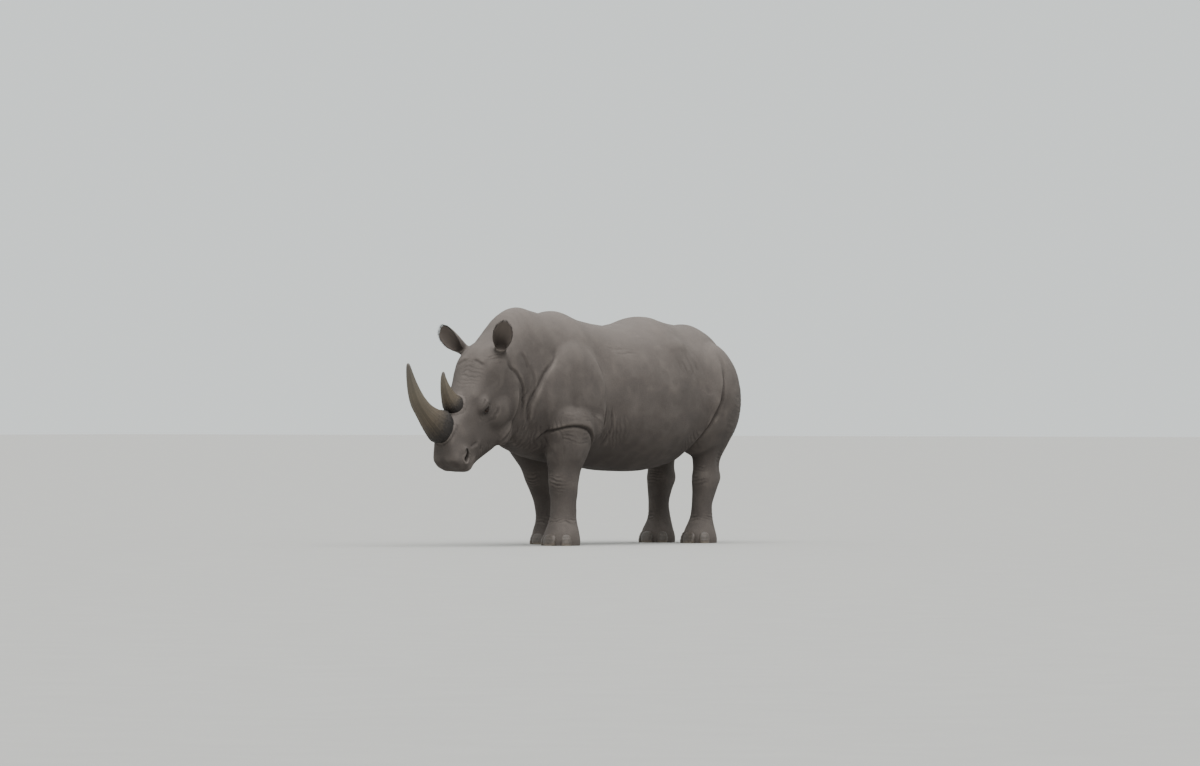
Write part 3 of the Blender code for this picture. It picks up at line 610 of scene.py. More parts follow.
# Folds: places on the animal's side, then width and depth of the groove, and on the side to the
# left of the fold's way the height of its lip, how far the lip hangs over, and a broad swell.
SIDE_FOLDS = [
    # before the shoulder, from the hump to the breast
    ([(-0.285, 1.50), (-0.30, 1.44), (-0.37, 1.34), (-0.44, 1.256), (-0.495, 1.17),
      (-0.54, 1.083), (-0.555, 1.0), (-0.53, 0.90), (-0.47, 0.81)],
     0.016, 0.019, 0.001, 0.002, 0.010),
    # behind the jaw
    ([(-0.80, 0.745), (-0.731, 0.790), (-0.675, 0.865), (-0.655, 0.95), (-0.646, 1.055),
      (-0.650, 1.15), (-0.668, 1.24)], 0.013, 0.012, 0.003, 0.003, 0.017),
    # behind the ear and down the neck
    ([(-0.80, 1.43), (-0.765, 1.37), (-0.743, 1.318), (-0.69, 1.27), (-0.63, 1.18),
      (-0.606, 1.08), (-0.60, 0.96), (-0.605, 0.86)], 0.012, 0.009, 0.002, 0.0, 0.004),
    ([(-0.575, 1.37), (-0.53, 1.25), (-0.525, 1.13), (-0.54, 1.02)],
     0.012, 0.005, 0.001, 0.0, 0.003),
    ([(-0.64, 1.44), (-0.60, 1.37), (-0.575, 1.28)], 0.014, 0.005, 0.001, 0.0, 0.003),
    # the shoulder's edge, and the crease under it
    ([(0.03, 0.82), (0.10, 0.88), (0.125, 0.96), (0.125, 1.08), (0.13, 1.20), (0.10, 1.33),
      (0.04, 1.44), (-0.01, 1.53)], 0.022, 0.003, 0.001, 0.0, 0.013),
    ([(0.03, 0.79), (0.085, 0.84), (0.122, 0.90), (0.125, 0.98), (0.135, 1.08)],
     0.013, 0.012, 0.002, 0.003, 0.0),
    ([(0.175, 1.06), (0.19, 0.948), (0.197, 0.86), (0.17, 0.76), (0.14, 0.70)],
     0.014, 0.007, 0.002, 0.0, 0.003),
    # before the thigh
    ([(1.19, 0.64), (1.20, 0.72), (1.225, 0.805), (1.28, 0.893), (1.335, 0.99), (1.375, 1.08),
      (1.405, 1.20), (1.44, 1.343), (1.445, 1.46)], 0.021, 0.023, 0.004, 0.008, 0.020),
    ([(1.18, 0.58), (1.195, 0.70), (1.225, 0.805), (1.28, 0.893), (1.335, 0.99), (1.375, 1.08),
      (1.395, 1.16)], 0.026, 0.030, 0.003, 0.010, 0.014),
    # ribs
    ([(0.89, 1.42), (0.925, 1.36), (0.95, 1.27)], 0.013, 0.0022, 0.0, 0.0, 0.0015),
    ([(0.955, 1.40), (0.99, 1.33), (1.01, 1.27)], 0.013, 0.0030, 0.0, 0.0, 0.002),
    ([(1.02, 1.44), (1.07, 1.35), (1.12, 1.19)], 0.013, 0.0030, 0.0, 0.0, 0.002),
    ([(1.11, 1.41), (1.15, 1.34), (1.17, 1.28)], 0.013, 0.0030, 0.0, 0.0, 0.002),
    ([(1.16, 1.45), (1.21, 1.36), (1.25, 1.21)], 0.013, 0.0022, 0.0, 0.0, 0.0015),
    # over the barrel
    ([(0.20, 1.475), (0.30, 1.455), (0.40, 1.462)], 0.009, 0.0025, 0.0, 0.0, 0.0),
    ([(0.27, 1.435), (0.36, 1.42), (0.50, 1.445)], 0.009, 0.0022, 0.0, 0.0, 0.0),
]
# the ring above the forearm
ELBOW_FOLD = (
    [(-0.43, 0.66), (-0.43, 0.72), (-0.415, 0.79), (-0.37, 0.850), (-0.30, 0.879), (-0.21, 0.885),
     (-0.12, 0.868), (-0.05, 0.832), (0.0, 0.775), (0.03, 0.70), (0.04, 0.63)],
    0.014, 0.017, 0.005, 0.010, 0.011,
)
# On the head: places across, along and up. The mouth runs on round the other side.
MOUTH = [(0.0, 0.945, -0.100), (0.05, 0.942, -0.102), (0.10, 0.930, -0.108), (0.13, 0.90, -0.122),
         (0.14, 0.87, -0.135), (0.14, 0.835, -0.150), (0.135, 0.80, -0.165), (0.13, 0.772, -0.180)]
MOUTH_SIZES = (0.0085, 0.017, 0.0035, 0.005, 0.004)
NOSTRIL = [(0.14, 0.786, -0.026), (0.14, 0.802, -0.040), (0.14, 0.822, -0.050),
           (0.14, 0.842, -0.053), (0.14, 0.858, -0.048)]
NOSTRIL_SIZES = (0.0215, 0.038, 0.007)  # width, depth and height of its rim
HEAD_FOLDS = [
    ([(0.0, 0.10, 0.2), (0.07, 0.11, 0.2), (0.13, 0.13, 0.2), (0.19, 0.15, 0.1)],
     0.012, 0.005, 0.001, 0.0, 0.003),  # across the forehead
    ([(0.30, 0.345, 0.075), (0.30, 0.375, 0.060), (0.30, 0.42, 0.056), (0.30, 0.47, 0.062)],
     0.009, 0.006, 0.002, 0.0, 0.002),  # over the eye
    ([(0.30, 0.39, -0.115), (0.30, 0.45, -0.125), (0.30, 0.52, -0.095)],
     0.010, 0.005, 0.002, 0.0, 0.0),  # under it
    ([(0.30, 0.47, -0.13), (0.30, 0.53, -0.125), (0.30, 0.58, -0.095)],
     0.010, 0.004, 0.001, 0.0, 0.0),
    ([(0.30, 0.715, -0.12), (0.30, 0.745, -0.09), (0.30, 0.758, -0.055)],
     0.010, 0.006, 0.002, 0.0, 0.002),  # behind the nostril
    ([(0.30, 0.72, -0.17), (0.30, 0.745, -0.20), (0.30, 0.76, -0.23)],
     0.009, 0.005, 0.002, 0.0, 0.0),  # at the mouth's corner
]


def swells(points, rows, axes=np.eye(3), origin=np.zeros(3)):
    """Heights of rounded swellings: a bell of the distance from each centre, in its reach."""
    heights = np.zeros(len(points))
    for centre, reach, height in rows:
        for side in (1, -1) if centre[0] else (1,):
            place = origin + (np.array(centre) * (side, 1, 1)) @ axes
            local = ((points - place) @ axes.T) / reach
            heights += height * np.exp(-(local**2).sum(1))
    return heights


def lined(surface, places, side, from_head=False):
    """A fold's line on the skin: smooth through the places, cast in from far out at the side."""
    rows = between([(i, *place) for i, place in enumerate(places)], 0.25)[:, 1:]
    line = []
    for row in rows:
        if from_head:
            start = on_head(side * row[0], row[1], row[2])
            hit = surface.find_nearest(Vector(start))[0]
        else:
            hit = surface.ray_cast(Vector((side * 1.5, *row)), Vector((-side, 0, 0)))[0]
        if hit is not None:
            line.append(hit)
    line = np.array(line)
    moved_on = np.linalg.norm(np.diff(line, axis=0), axis=1) > 2e-4
    return line[np.append(True, moved_on)]


def fold(points, normals, line, width, depth, lip, over, swell, side=1, fade=0.3):
    """How a fold moves the points: a groove along the line, and a lip beside it.

    The groove is a bell of the distance from the line, pushed in along the normal. The lip is a
    wider bell to one side, pushed out, and slid over the groove. The broad swell lifts that side
    and sinks the other, fading away from the line. All fade at the line's ends.
    """
    moved = np.zeros_like(points)
    reach = 14 * width
    inside = (points > line.min(0) - reach) & (points < line.max(0) + reach)
    near = np.nonzero(inside.all(axis=1))[0]
    start, run = line[:-1], np.diff(line, axis=0)
    t = ((points[near, None] - start) * run).sum(2) / (run**2).sum(1)
    gap = points[near, None] - start - np.clip(t, 0, 1)[..., None] * run
    best = (gap**2).sum(2).argmin(1)
    row = np.arange(len(near))
    gap, along = gap[row, best], (best + np.clip(t[row, best], 0, 1)) / len(run)
    normal = normals[near]
    left = unit(np.cross(normal, unit(run)[best])) * side
    off = (gap * left).sum(1)
    distance = np.linalg.norm(gap, axis=1) * np.where(off < 0, -1, 1)
    fades = ramp(np.minimum(along, 1 - along), 0, fade) ** 1.3
    width = width * (1 + 0.25 * noise(points[near], 0.11, 6))
    raised = bump(distance - 1.9 * width, 1.4 * width)
    broad = np.where(distance > 0, 1.0, -0.6) * np.tanh(np.abs(distance) / (1.5 * width))
    broad = broad * bump(distance, 6 * width)
    out = lip * raised - depth * bump(distance, width) + swell * broad
    moved[near] = (fades * (0.85 + 0.15 * noise(points[near], 0.09, 5)))[:, None] * (
        out[:, None] * normal - (over * raised)[:, None] * left
    )
    return moved


# Creased places: centre on the left side, reach (across, back, up), the way across the
# creases, their spacing and their depth. Those with a leg's name go back with its stride.
CREASED = [
    ((0.245, -0.30, 0.475), (0.14, 0.10, 0.10), (0, 0, 1), 0.024, 0.0050, "foreleg"),  # knee
    ((0.245, -0.20, 0.185), (0.17, 0.20, 0.05), (0, 0, 1), 0.021, 0.0040, "foreleg"),  # ankle
    ((0.245, 0.00, 0.62), (0.16, 0.12, 0.12), (0, -0.3, 1), 0.030, 0.0045, "foreleg"),
    ((0.36, -0.20, 0.80), (0.10, 0.22, 0.06), (0, 0.1, 1), 0.026, 0.0035, "foreleg"),
    ((0.225, 1.40, 0.20), (0.17, 0.20, 0.05), (0, 0, 1), 0.021, 0.0040, "hindleg"),
    ((0.235, 1.33, 0.52), (0.14, 0.10, 0.10), (0, 0, 1), 0.026, 0.0045, "hindleg"),  # hock
    ((0.235, 1.52, 0.66), (0.14, 0.12, 0.10), (0, 0.3, 1), 0.030, 0.0035, "hindleg"),
    ((0.42, -0.14, 0.96), (0.12, 0.26, 0.08), (0, 0.2, 1), 0.028, 0.0014, ""),  # above the elbow
    ((0.25, -0.57, 1.05), (0.16, 0.08, 0.36), (0.2, 1, -0.1), 0.030, 0.0035, ""),  # neck
    ((0.10, -0.58, 0.80), (0.22, 0.14, 0.14), (0, 1, 0.2), 0.030, 0.0040, ""),  # throat
    ((0.30, -0.38, 0.80), (0.22, 0.16, 0.16), (0.1, 1, 0.35), 0.030, 0.0045, ""),  # breast
    ((0.44, 0.20, 0.82), (0.14, 0.16, 0.26), (0, 1, 0.2), 0.030, 0.0036, ""),  # behind the elbow
    ((0.38, 1.15, 0.76), (0.16, 0.15, 0.15), (0, 0.9, 0.5), 0.034, 0.0030, ""),  # flank
    ((0.30, 1.62, 0.95), (0.20, 0.18, 0.32), (0.3, 0.2, 1), 0.038, 0.0030, ""),  # buttock
    ((0.34, 0.35, 1.45), (0.12, 0.26, 0.07), (0, 0.25, 1), 0.024, 0.0014, ""),
    ((0.12, -0.52, 1.66), (0.16, 0.16, 0.10), (0, 1, 0.3), 0.045, 0.0014, ""),  # nape
    ((0.15, -0.84, 1.40), (0.08, 0.09, 0.07), (0.2, -0.2, 1), 0.018, 0.0035, ""),  # ears' roots
]
HEAD_CREASED = [
    ((0.0, 0.22, 0.10), (0.20, 0.14, 0.10), (0, 1, 0), 0.030, 0.0022),  # forehead
    ((0.12, 0.78, -0.12), (0.07, 0.08, 0.09), (0, 1, 0.5), 0.017, 0.0026),  # muzzle
    ((0.0, 0.95, 0.0), (0.13, 0.06, 0.10), (1, 0, 0), 0.020, 0.0022),  # upper lip
    ((0.10, 0.70, -0.24), (0.09, 0.12, 0.09), (0, 1, 0.2), 0.022, 0.0030),  # chin
    ((0.12, 0.56, -0.36), (0.10, 0.14, 0.09), (0, 1, -0.4), 0.030, 0.0022),  # jaw
]


def creases(points, centre, reach, way, spacing, depth, seed):
    """Creases across a way: narrow grooves at even steps, bent and broken by noise."""
    depths = np.zeros(len(points))
    near = np.nonzero((np.abs(points - centre) < 1.25 * max(reach)).all(axis=1))[0]
    from_centre = np.linalg.norm((points[near] - centre) / reach, axis=1)
    near, from_centre = near[from_centre < 1.25], from_centre[from_centre < 1.25]
    place = points[near]
    bent = place @ unit(way) / spacing + 0.9 * noise(place, 3 * spacing, seed)
    bent += 0.25 * noise(place, spacing, seed + 1)
    groove = bump(bent - np.round(bent), 0.17)
    broken = ramp(noise(place, 2.2 * spacing, seed + 2), -0.6, 0.4)
    depths[near] = depth * groove * broken * ramp(from_centre, 1.2, 0.45)
    return depths


def eye_axes(side):
    """The ways out of an eye, along its slit and up from the slit."""
    out = unit(np.array([side * 0.93, -0.30, 0.16]))
    slit = unit(np.cross(np.cross(out, np.array([0, -0.78, -0.62])), out))
    upper = np.cross(slit, out) * side
    return out, slit, upper if upper[2] > 0 else -upper


# Creases round the eye: 1 above it or -1 below, distance from the slit, depth and width.
LID_CREASES = (
    (1, 0.0215, 0.0048, 0.0022), (1, 0.0300, 0.0034, 0.0030),
    (1, 0.0390, 0.0034, 0.0034), (1, 0.0490, 0.0026, 0.0036),
    (-1, 0.0230, 0.0032, 0.0024), (-1, 0.0325, 0.0040, 0.0032),
    (-1, 0.0440, 0.0030, 0.0036), (-1, 0.0560, 0.0022, 0.0040),
)


def lids(points, eye, side):
    """The eyelids: a dome just over the eyeball, open in an almond that sinks behind it.

    Round them run creases, by distance from the slit, those above and those below apart.
    """
    out, slit, upper = eye_axes(side)
    near = np.nonzero(np.linalg.norm(points - eye, axis=1) < 0.10)[0]
    local = points[near] - eye
    u, v, w = local @ slit, local @ upper, local @ out
    across = np.hypot(u, v)
    dome = np.sqrt(np.maximum(LID_RADIUS**2 - across**2, 0))
    dome -= 0.9 * (across - 0.0215).clip(0)
    soft = 0.004
    height = np.maximum(dome, w) + soft * np.exp(-np.abs(dome - w) / soft) * 0.5
    height = np.where(w > -0.02, height, w)
    away = np.hypot(u / 1.45, v / 0.9) * (1 + 0.10 * noise(points[near], 0.025, 71))
    # for above and below: the share of a point there, and how its creases are broken up
    parts = {
        1: (ramp(v, -0.004, 0.006), 1e4, -0.7, 0.1),
        -1: (ramp(v, 0.004, -0.006), 2e4, -0.6, 0.2),
    }
    height += 0.0016 * bump(away - 0.0165, 0.0028)  # the lids' thick edges
    for up, place, depth, wide in LID_CREASES:
        part, seeds, start, end = parts[up]
        broken = ramp(noise(points[near], 0.045, int(place * seeds)), start, end)
        height -= depth * broken * part * bump(away - place, wide)
        height += 0.4 * depth * broken * part * bump(away - place - up * 2 * wide, 1.4 * wide)
    sunk = ramp(almond(u, v), 1.12, 0.90)
    height = height * (1 - sunk) + 0.006 * sunk
    moved = np.zeros_like(points)
    moved[near] = (ramp(across, 0.095, 0.070) * (height - w))[:, None] * out
    return moved


def almond(u, v):
    """Distance from the middle of the eye's opening, 1 at its edge, along and up its slit."""
    return np.hypot(u / SLIT_HALF, (v - SLIT_BOW * u * u / SLIT_HALF) / SLIT_OPEN)


def pits(points, normals, line, width, depth, rim):
    """A nostril: a steep pit along a short line, wider at its lower end, with a raised rim."""
    moved = np.zeros_like(points)
    near = np.nonzero(np.linalg.norm(points - line.mean(0), axis=1) < 0.12)[0]
    gaps = np.linalg.norm(points[near, None] - line, axis=2)
    along = gaps.argmin(axis=1) / (len(line) - 1)
    wide = width * (0.45 + 0.55 * ramp(along, 0.0, 0.7))
    away = gaps.min(axis=1) / wide * (1 + 0.06 * noise(points[near], 0.03, 72))
    into, raised = ramp(away, 1.0, 0.45), bump(away - 1.35, 0.4)
    moved[near] = (rim * raised - depth * into)[:, None] * normals[near]
    return moved


def collars(points, normals):
    """The skin's rough rim round each horn, by how far outside the horn's rounds each point is."""
    moved = np.zeros_like(points)
    for path, half_sizes in HORNS.values():
        rings = along_path([(0, y, z) for y, z in path], half_sizes, 96, 0.1, 2.2)
        rings = rings[: len(rings) // 2]
        middle = rings.mean(axis=1)
        way = unit(np.gradient(middle, axis=0))
        close = (points > rings.min((0, 1)) - 0.06) & (points < rings.max((0, 1)) + 0.06)
        near = np.nonzero(close.all(axis=1))[0]
        outwards = points[near, None] - middle
        at = np.abs((outwards * way).sum(-1)).argmin(axis=1)
        outwards = outwards[np.arange(len(near)), at]
        spokes = rings[at] - middle[at][:, None]
        facing = (unit(spokes) * unit(outwards)[:, None]).sum(-1).argmax(axis=1)
        radius = np.linalg.norm(spokes[np.arange(len(near)), facing], axis=1)
        away = np.linalg.norm(outwards, axis=1) - radius
        away = away * (1 + 0.25 * noise(points[near], 0.03, 91))
        rough = 1 + 0.5 * noise(points[near], 0.012, 92)
        height = 0.0045 * bump(away - 0.004, 0.007) - 0.0025 * bump(away - 0.019, 0.005)
        moved[near] = (height * rough)[:, None] * normals[near]
    return moved


def sculpted(points, normals, surface):
    """The points of the melted surface moved into folds, creases, lids and nostrils."""
    head_axes = np.stack([ACROSS, HEAD_DOWN, HEAD_UP])
    heights = swells(points, BODY_SWELLS) + swells(points, HEAD_SWELLS, head_axes, POLL)
    for name, stride in STRIDE.items():
        side = 1 if name.endswith("left") else -1
        for centre, reach, height in LEG_SWELLS[name[:4]]:
            place = np.array(centre) * (side, 1, 1)
            place[1] += lag(place[2], stride)
            heights += height * np.exp(-(((points - place) / reach) ** 2).sum(1))
    seed = 11
    depths = np.zeros(len(points))
    for centre, reach, way, spacing, depth, leg in CREASED:
        for side, name in ((1, "_left"), (-1, "_right")):
            place = np.array(centre) * (side, 1, 1)
            if leg:
                place[1] += lag(place[2], STRIDE[leg + name])
            seed += 7
            across = np.array(way) * (side, 1, 1)
            depths += creases(points, place, reach, across, spacing, depth, seed)
    on_its_head = (points - POLL) @ head_axes.T
    for centre, reach, way, spacing, depth in HEAD_CREASED:
        for side in (1, -1) if centre[0] else (1,):
            seed += 7
            place = np.array(centre) * (side, 1, 1)
            across = np.array(way) * (side, 1, 1)
            depths += creases(on_its_head, place, reach, across, spacing, depth, seed)
    lumps = 0.0030 * noise(points, 0.16, 1) + 0.0012 * noise(points, 0.055, 2)
    firm = 1 - near_ears(points)
    shaped = (heights + lumps - depths) * (1 - on_tail(points))
    moved = (shaped * firm - EAR_THINNED * (1 - firm))[:, None] * normals
    for side in (1, -1):
        for places, *sizes in SIDE_FOLDS + [ELBOW_FOLD]:
            line = lined(surface, places, side)
            moved += fold(points, normals, line, *sizes, side=side) * firm[:, None]
        for places, *sizes in HEAD_FOLDS:
            line = lined(surface, places, side, True)
            moved += fold(points, normals, line, *sizes, side=side)
        moved += lids(points, EYE * (side, 1, 1), side)
        moved += pits(points, normals, lined(surface, NOSTRIL, side, True), *NOSTRIL_SIZES)
    mouth = [(-across, along, up) for across, along, up in MOUTH[:0:-1]] + MOUTH
    line = lined(surface, mouth, 1, True)
    moved += fold(points, normals, line, *MOUTH_SIZES, fade=0.08)
    moved += collars(points, normals)
    return points + moved


def in_ears(points, normals):
    """How far each point is on the hollow face of an ear: its face is turned to the leaf's axis."""
    share = np.zeros(len(points))
    at, wide, wrap = between(EAR_LEAF, 0.05).T
    radii = wide / np.sin(np.minimum(np.radians(wrap), math.pi / 2))
    for name in EARS:
        root, axis, opening, beside = ear_axes(name)
        along = (points - root) @ axis
        radius = np.interp(along / EAR_LENGTH, at, radii)
        middle = root + along[:, None] * axis
        middle = middle + (radius - EAR_LEAF[0][1])[:, None] * opening
        turned = (unit(middle - points) * normals).sum(1)
        on_ear = np.linalg.norm(points - middle, axis=1) < 0.12
        aside = np.linalg.norm(points - root - along[:, None] * axis, axis=1)
        turned = np.maximum(turned, ramp(aside, 0.034, 0.026))  # and the hollow's floor
        outer = ((points - root) @ beside) * np.sign(root[0] * beside[0])
        deep = 0.3 + 0.7 * ramp(along + 0.9 * outer, 0.20, 0.04)  # more towards the root and front, where the hollow's painted shade is darkest
        deep = on_ear * deep * ramp(along, 0.02, 0.045) * ramp(turned, 0.1, 0.6)
        share = np.maximum(share, deep)
    return share


def moist_and_shaded_places(points, surface):
    """How dark and moist each point is: moist skin round the eyes and in the nostrils, darkened also
    as painted shade round the eyes and deep in the nostrils.
    """
    share = np.zeros(len(points))
    for side in (1, -1):
        _, slit, upper = eye_axes(side)
        local = points - EYE * (side, 1, 1)
        near = np.linalg.norm(local, axis=1) < 0.05
        # round the eye: moist skin, with painted shade
        share = np.maximum(share, near * ramp(almond(local @ slit, local @ upper), 2.3, 1.0))
        line = lined(surface, NOSTRIL, side, True)
        near = np.nonzero(np.linalg.norm(points - line.mean(0), axis=1) < 0.08)[0]
        gaps = np.linalg.norm((points[near, None] - line)[..., 1:], axis=2).min(axis=1)
        # the deeper in the nostril's pit, the darker: painted shade
        sunk = (line[:, 0].mean() - points[near, 0]) * side
        share[near] = np.maximum(share[near], np.maximum(
            0.7 * ramp(gaps, 0.024, 0.013), ramp(sunk, 0.006, 0.020) * ramp(gaps, 0.032, 0.024)))
    return share


def make_skin():
    """The whole skin, from its forms to its finished, thinned mesh."""
    skin = melted()
    eyes = [EYE * (side, 1, 1) for side in (1, -1)]
    noses = [on_head(side * 0.12, 0.82, -0.05) for side in (1, -1)]
    lips = [on_head(across, 0.93, -0.05) for across in (-0.08, 0.0, 0.08)]
    refine(skin, [(place, 0.095) for place in eyes] + [(place, 0.085) for place in noses + lips])
    refine(skin, [(place, 0.045) for place in eyes] + [(place, 0.045) for place in noses])
    points, normals = points_of(skin.data), normals_of(skin.data)
    shape = bmesh.new()
    shape.from_mesh(skin.data)
    surface = BVHTree.FromBMesh(shape)
    shape.free()
    points = sculpted(points, normals, surface)
    points[:, 2] = points[:, 2].clip(0)
    move_points(skin.data, points + SHIFT)
    skin.data.calc_loop_triangles()
    modify(skin, "DECIMATE", ratio=SKIN_TRIANGLES / len(skin.data.loop_triangles))
    modify(skin, "TRIANGULATE")
    points, edges = points_of(skin.data), edges_of(skin.data)
    normals = normals_of(skin.data)
    mean = spread(points, edges, 1, 1.0)
    inwards = ((mean - points) * normals).sum(1)
    length = np.linalg.norm(points[edges[:, 0]] - points[edges[:, 1]], axis=1).mean()
    # for the hide's colour: hollowness for painted shade in folds, facing up for dust with painted
    # light above and painted shade below, moist skin with painted shade, and the ears' hollows for
    # their painted light and shade
    keep(skin, "hollow", spread(np.clip(inwards / length * 6, -1, 1), edges, 2, 0.6))
    keep(skin, "upward", spread(normals[:, 2], edges, 12, 0.6))
    keep(skin, "moist_and_shade", moist_and_shaded_places(points - SHIFT, surface))
    keep(skin, "in_ear", spread(in_ears(points - SHIFT, normals), edges, 3, 0.6))
    skin.data.shade_smooth()
    return skin


# ---------------------------------------------------------------- horns, nails and eyes
def make_horn(name):
    """A horn: squarish rounds along its curve, with fibres down it and rough steps at its base."""
    path, half_sizes = HORNS[name]
    rings = along_path([(0, y, z) for y, z in path], half_sizes, 160, 0.045, 2.2)
    count, sides, _ = rings.shape
    middle = rings.mean(axis=1, keepdims=True)
    turn = np.linspace(0, 2 * math.pi, sides, endpoint=False)
    along = np.linspace(0, 1, count)[:, None]
    flat = np.stack(np.broadcast_arrays(np.cos(turn), np.sin(turn), 0.35 * along), axis=-1)
    flat = flat.reshape(-1, 3)
    fibres = noise(flat * [1, 1, 4], 0.045, 21) + 0.6 * noise(flat * [1, 1, 6], 0.02, 22)
    rough = noise(flat * [1, 1, 9], 0.13, 23) + 0.5 * noise(flat * [1, 1, 12], 0.05, 24)
    steps = np.abs((along * 9 + 0.15 * rough.reshape(count, sides)) % 1 - 0.5) * 2
    worn = ramp(along, 0.5, 0.08)
    off = 0.0007 * fibres.reshape(count, sides) * ramp(along, 1.0, 0.6)
    off = off + 0.0022 * rough.reshape(count, sides) * worn - 0.0024 * ramp(steps, 0.35, 0) * worn
    rings = rings + unit(rings - middle) * off[..., None]
    blunt = np.sqrt(1 - ((along - 0.955) / 0.045).clip(0, 0.99) ** 2)[..., None]
    rings = middle + (rings - middle) * blunt
    points, faces = skin_of(rings)
    horn = mesh_of(name + "_keratin", points + SHIFT, faces, outward=True)
    keep(horn, "along", np.append(np.repeat(along[:, 0], sides), (0, 1)))
    keep(horn, "fibres", np.concatenate([flat, [(0, 0, 0), (0, 0, flat[-1, 2])]]))
    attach(horn, "root")
    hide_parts(name)
    return horn


def make_nail(name):
    """A nail: a squarish dome leaning back, ridged by its growth, and flat where it stands."""
    lowest, highest = (np.array(corner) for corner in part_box(name))
    leg, toe = name.rsplit("_nail_", 1)
    foot = (np.array(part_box(leg + "_foot")[0]) + np.array(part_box(leg + "_foot")[1])) / 2
    out = unit(((lowest + highest) / 2 - foot) * (1, 1, 0))
    degrees, wide = {"inner": (-58, 0.042), "middle": (0, 0.056), "outer": (58, 0.042)}[toe]
    turn = math.radians(degrees) * (1 if leg.endswith("left") else -1)
    turned = Matrix.Rotation(turn, 3, "Z") @ Matrix.Rotation(math.radians(-14), 3, "X")
    axes = np.array(turned).T
    middle = (lowest + highest) / 2
    middle[2] = 0.035
    shape = mass((0, 0, 0), (wide, 0.024, 0.052), np.eye(3), 2.5)
    shape[..., 1] *= 1 + 0.05 * np.sin(shape[..., 2] / 0.0042) * ramp(shape[..., 2], 0.05, 0.02)
    points, faces = skin_of(shape)
    points = points @ axes
    points[:, :2] += middle[:2] + out[:2] * 0.001
    points[:, 2] = (points[:, 2] + middle[2]).clip(0)
    nail = mesh_of(name + "_plate", points, faces, outward=True)
    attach(nail, "root")
    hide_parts(name)
    return nail


def make_eye(name):
    """An eyeball: a ball with the clear front's low dome, and its distance from the gaze."""
    lowest, highest = (np.array(corner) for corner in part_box(name))
    side = 1 if name.endswith("left") else -1
    gaze = unit(np.array([side * 0.93, -0.30, 0.10]))
    up = unit(np.array([0, 0, 1]) - gaze * gaze[2])
    turn = np.linspace(0, 2 * math.pi, 64, endpoint=False)
    tilt = np.linspace(0.01, math.pi - 0.01, 60)[:, None]
    radius = EYE_RADIUS * (1 + 0.05 * ramp(tilt, 0.62, 0.30))
    rings = (
        (radius * np.cos(tilt) + 0 * turn)[..., None] * gaze
        + (radius * np.sin(tilt) * np.cos(turn))[..., None] * up
        + (radius * np.sin(tilt) * np.sin(turn))[..., None] * np.cross(gaze, up)
    )
    points, faces = skin_of(rings)
    eye = mesh_of(name + "_ball", points + (lowest + highest) / 2, faces, outward=True)
    flat = points / EYE_RADIUS
    angles = np.arccos(np.clip(unit(flat) @ gaze, -1, 1))
    keep(eye, "gaze", angles)
    keep(eye, "spokes", unit(flat - (flat @ gaze)[:, None] * gaze) + 0.6 * angles[:, None] * gaze)
    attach(eye, "root")
    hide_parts(name)
    return eye


# ---------------------------------------------------------------- hair
def hairs(name, roots, ways, lengths, widths, droop, places, replaced=()):
    """Many tapering three-sided hairs as one mesh, each curving over along its length.

    A hair's middle line is its root, plus its way times the distance, plus its droop times the
    square of the distance. Each has a small square of the map at its root's place.
    """
    rings, sides = 5, 3
    t = np.linspace(0, 1, rings)
    count = len(roots)
    line = (
        roots[:, None]
        + (lengths[:, None] * t)[..., None] * ways[:, None]
        + (lengths[:, None] * t**2)[..., None] * droop[:, None]
    )
    ahead = unit(np.gradient(line, axis=1))
    first = unit(np.cross(ahead, np.array([0.3, 0.5, 0.81])))
    second = np.cross(ahead, first)
    taper = np.array([0.8, 1.0, 0.8, 0.45, 0.06])
    turn = np.arange(sides) * 2 * math.pi / sides
    radius = (widths[:, None] * taper)[..., None, None]
    ring = line[:, :, None] + radius * (
        np.cos(turn)[:, None] * first[:, :, None] + np.sin(turn)[:, None] * second[:, :, None]
    )
    points = ring.reshape(-1, 3)
    base = np.arange(count)[:, None, None] * rings * sides
    level = np.arange(rings - 1)[:, None] * sides
    here, beside = level + np.arange(sides), level + (np.arange(sides) + 1) % sides
    quads = np.stack([here, beside, beside + sides, here + sides], axis=-1).reshape(1, -1, 4)
    ends = np.array([[2, 1, 0], [(rings - 1) * sides + i for i in range(3)]])[None]
    faces = [(base + quads).reshape(-1, 4), (base + ends).reshape(-1, 3)]
    piece = mesh_of(name, points + SHIFT, faces)
    square = 0.003  # of a map whose side is 1
    tile = square * np.stack(np.broadcast_arrays(
        (np.arange(sides) / sides)[None, :], t[:, None]), axis=-1).reshape(1, -1, 2)
    at_points = (places[:, None] + tile).reshape(-1, 2)
    corners = np.empty(len(piece.data.loops), np.int32)
    piece.data.loops.foreach_get("vertex_index", corners)
    layer = piece.data.uv_layers.new(name="OFBake")
    layer.data.foreach_set("uv", at_points[corners].astype(np.float32).ravel())
    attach(piece, "root")
    if replaced:
        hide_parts(*replaced)
    return piece


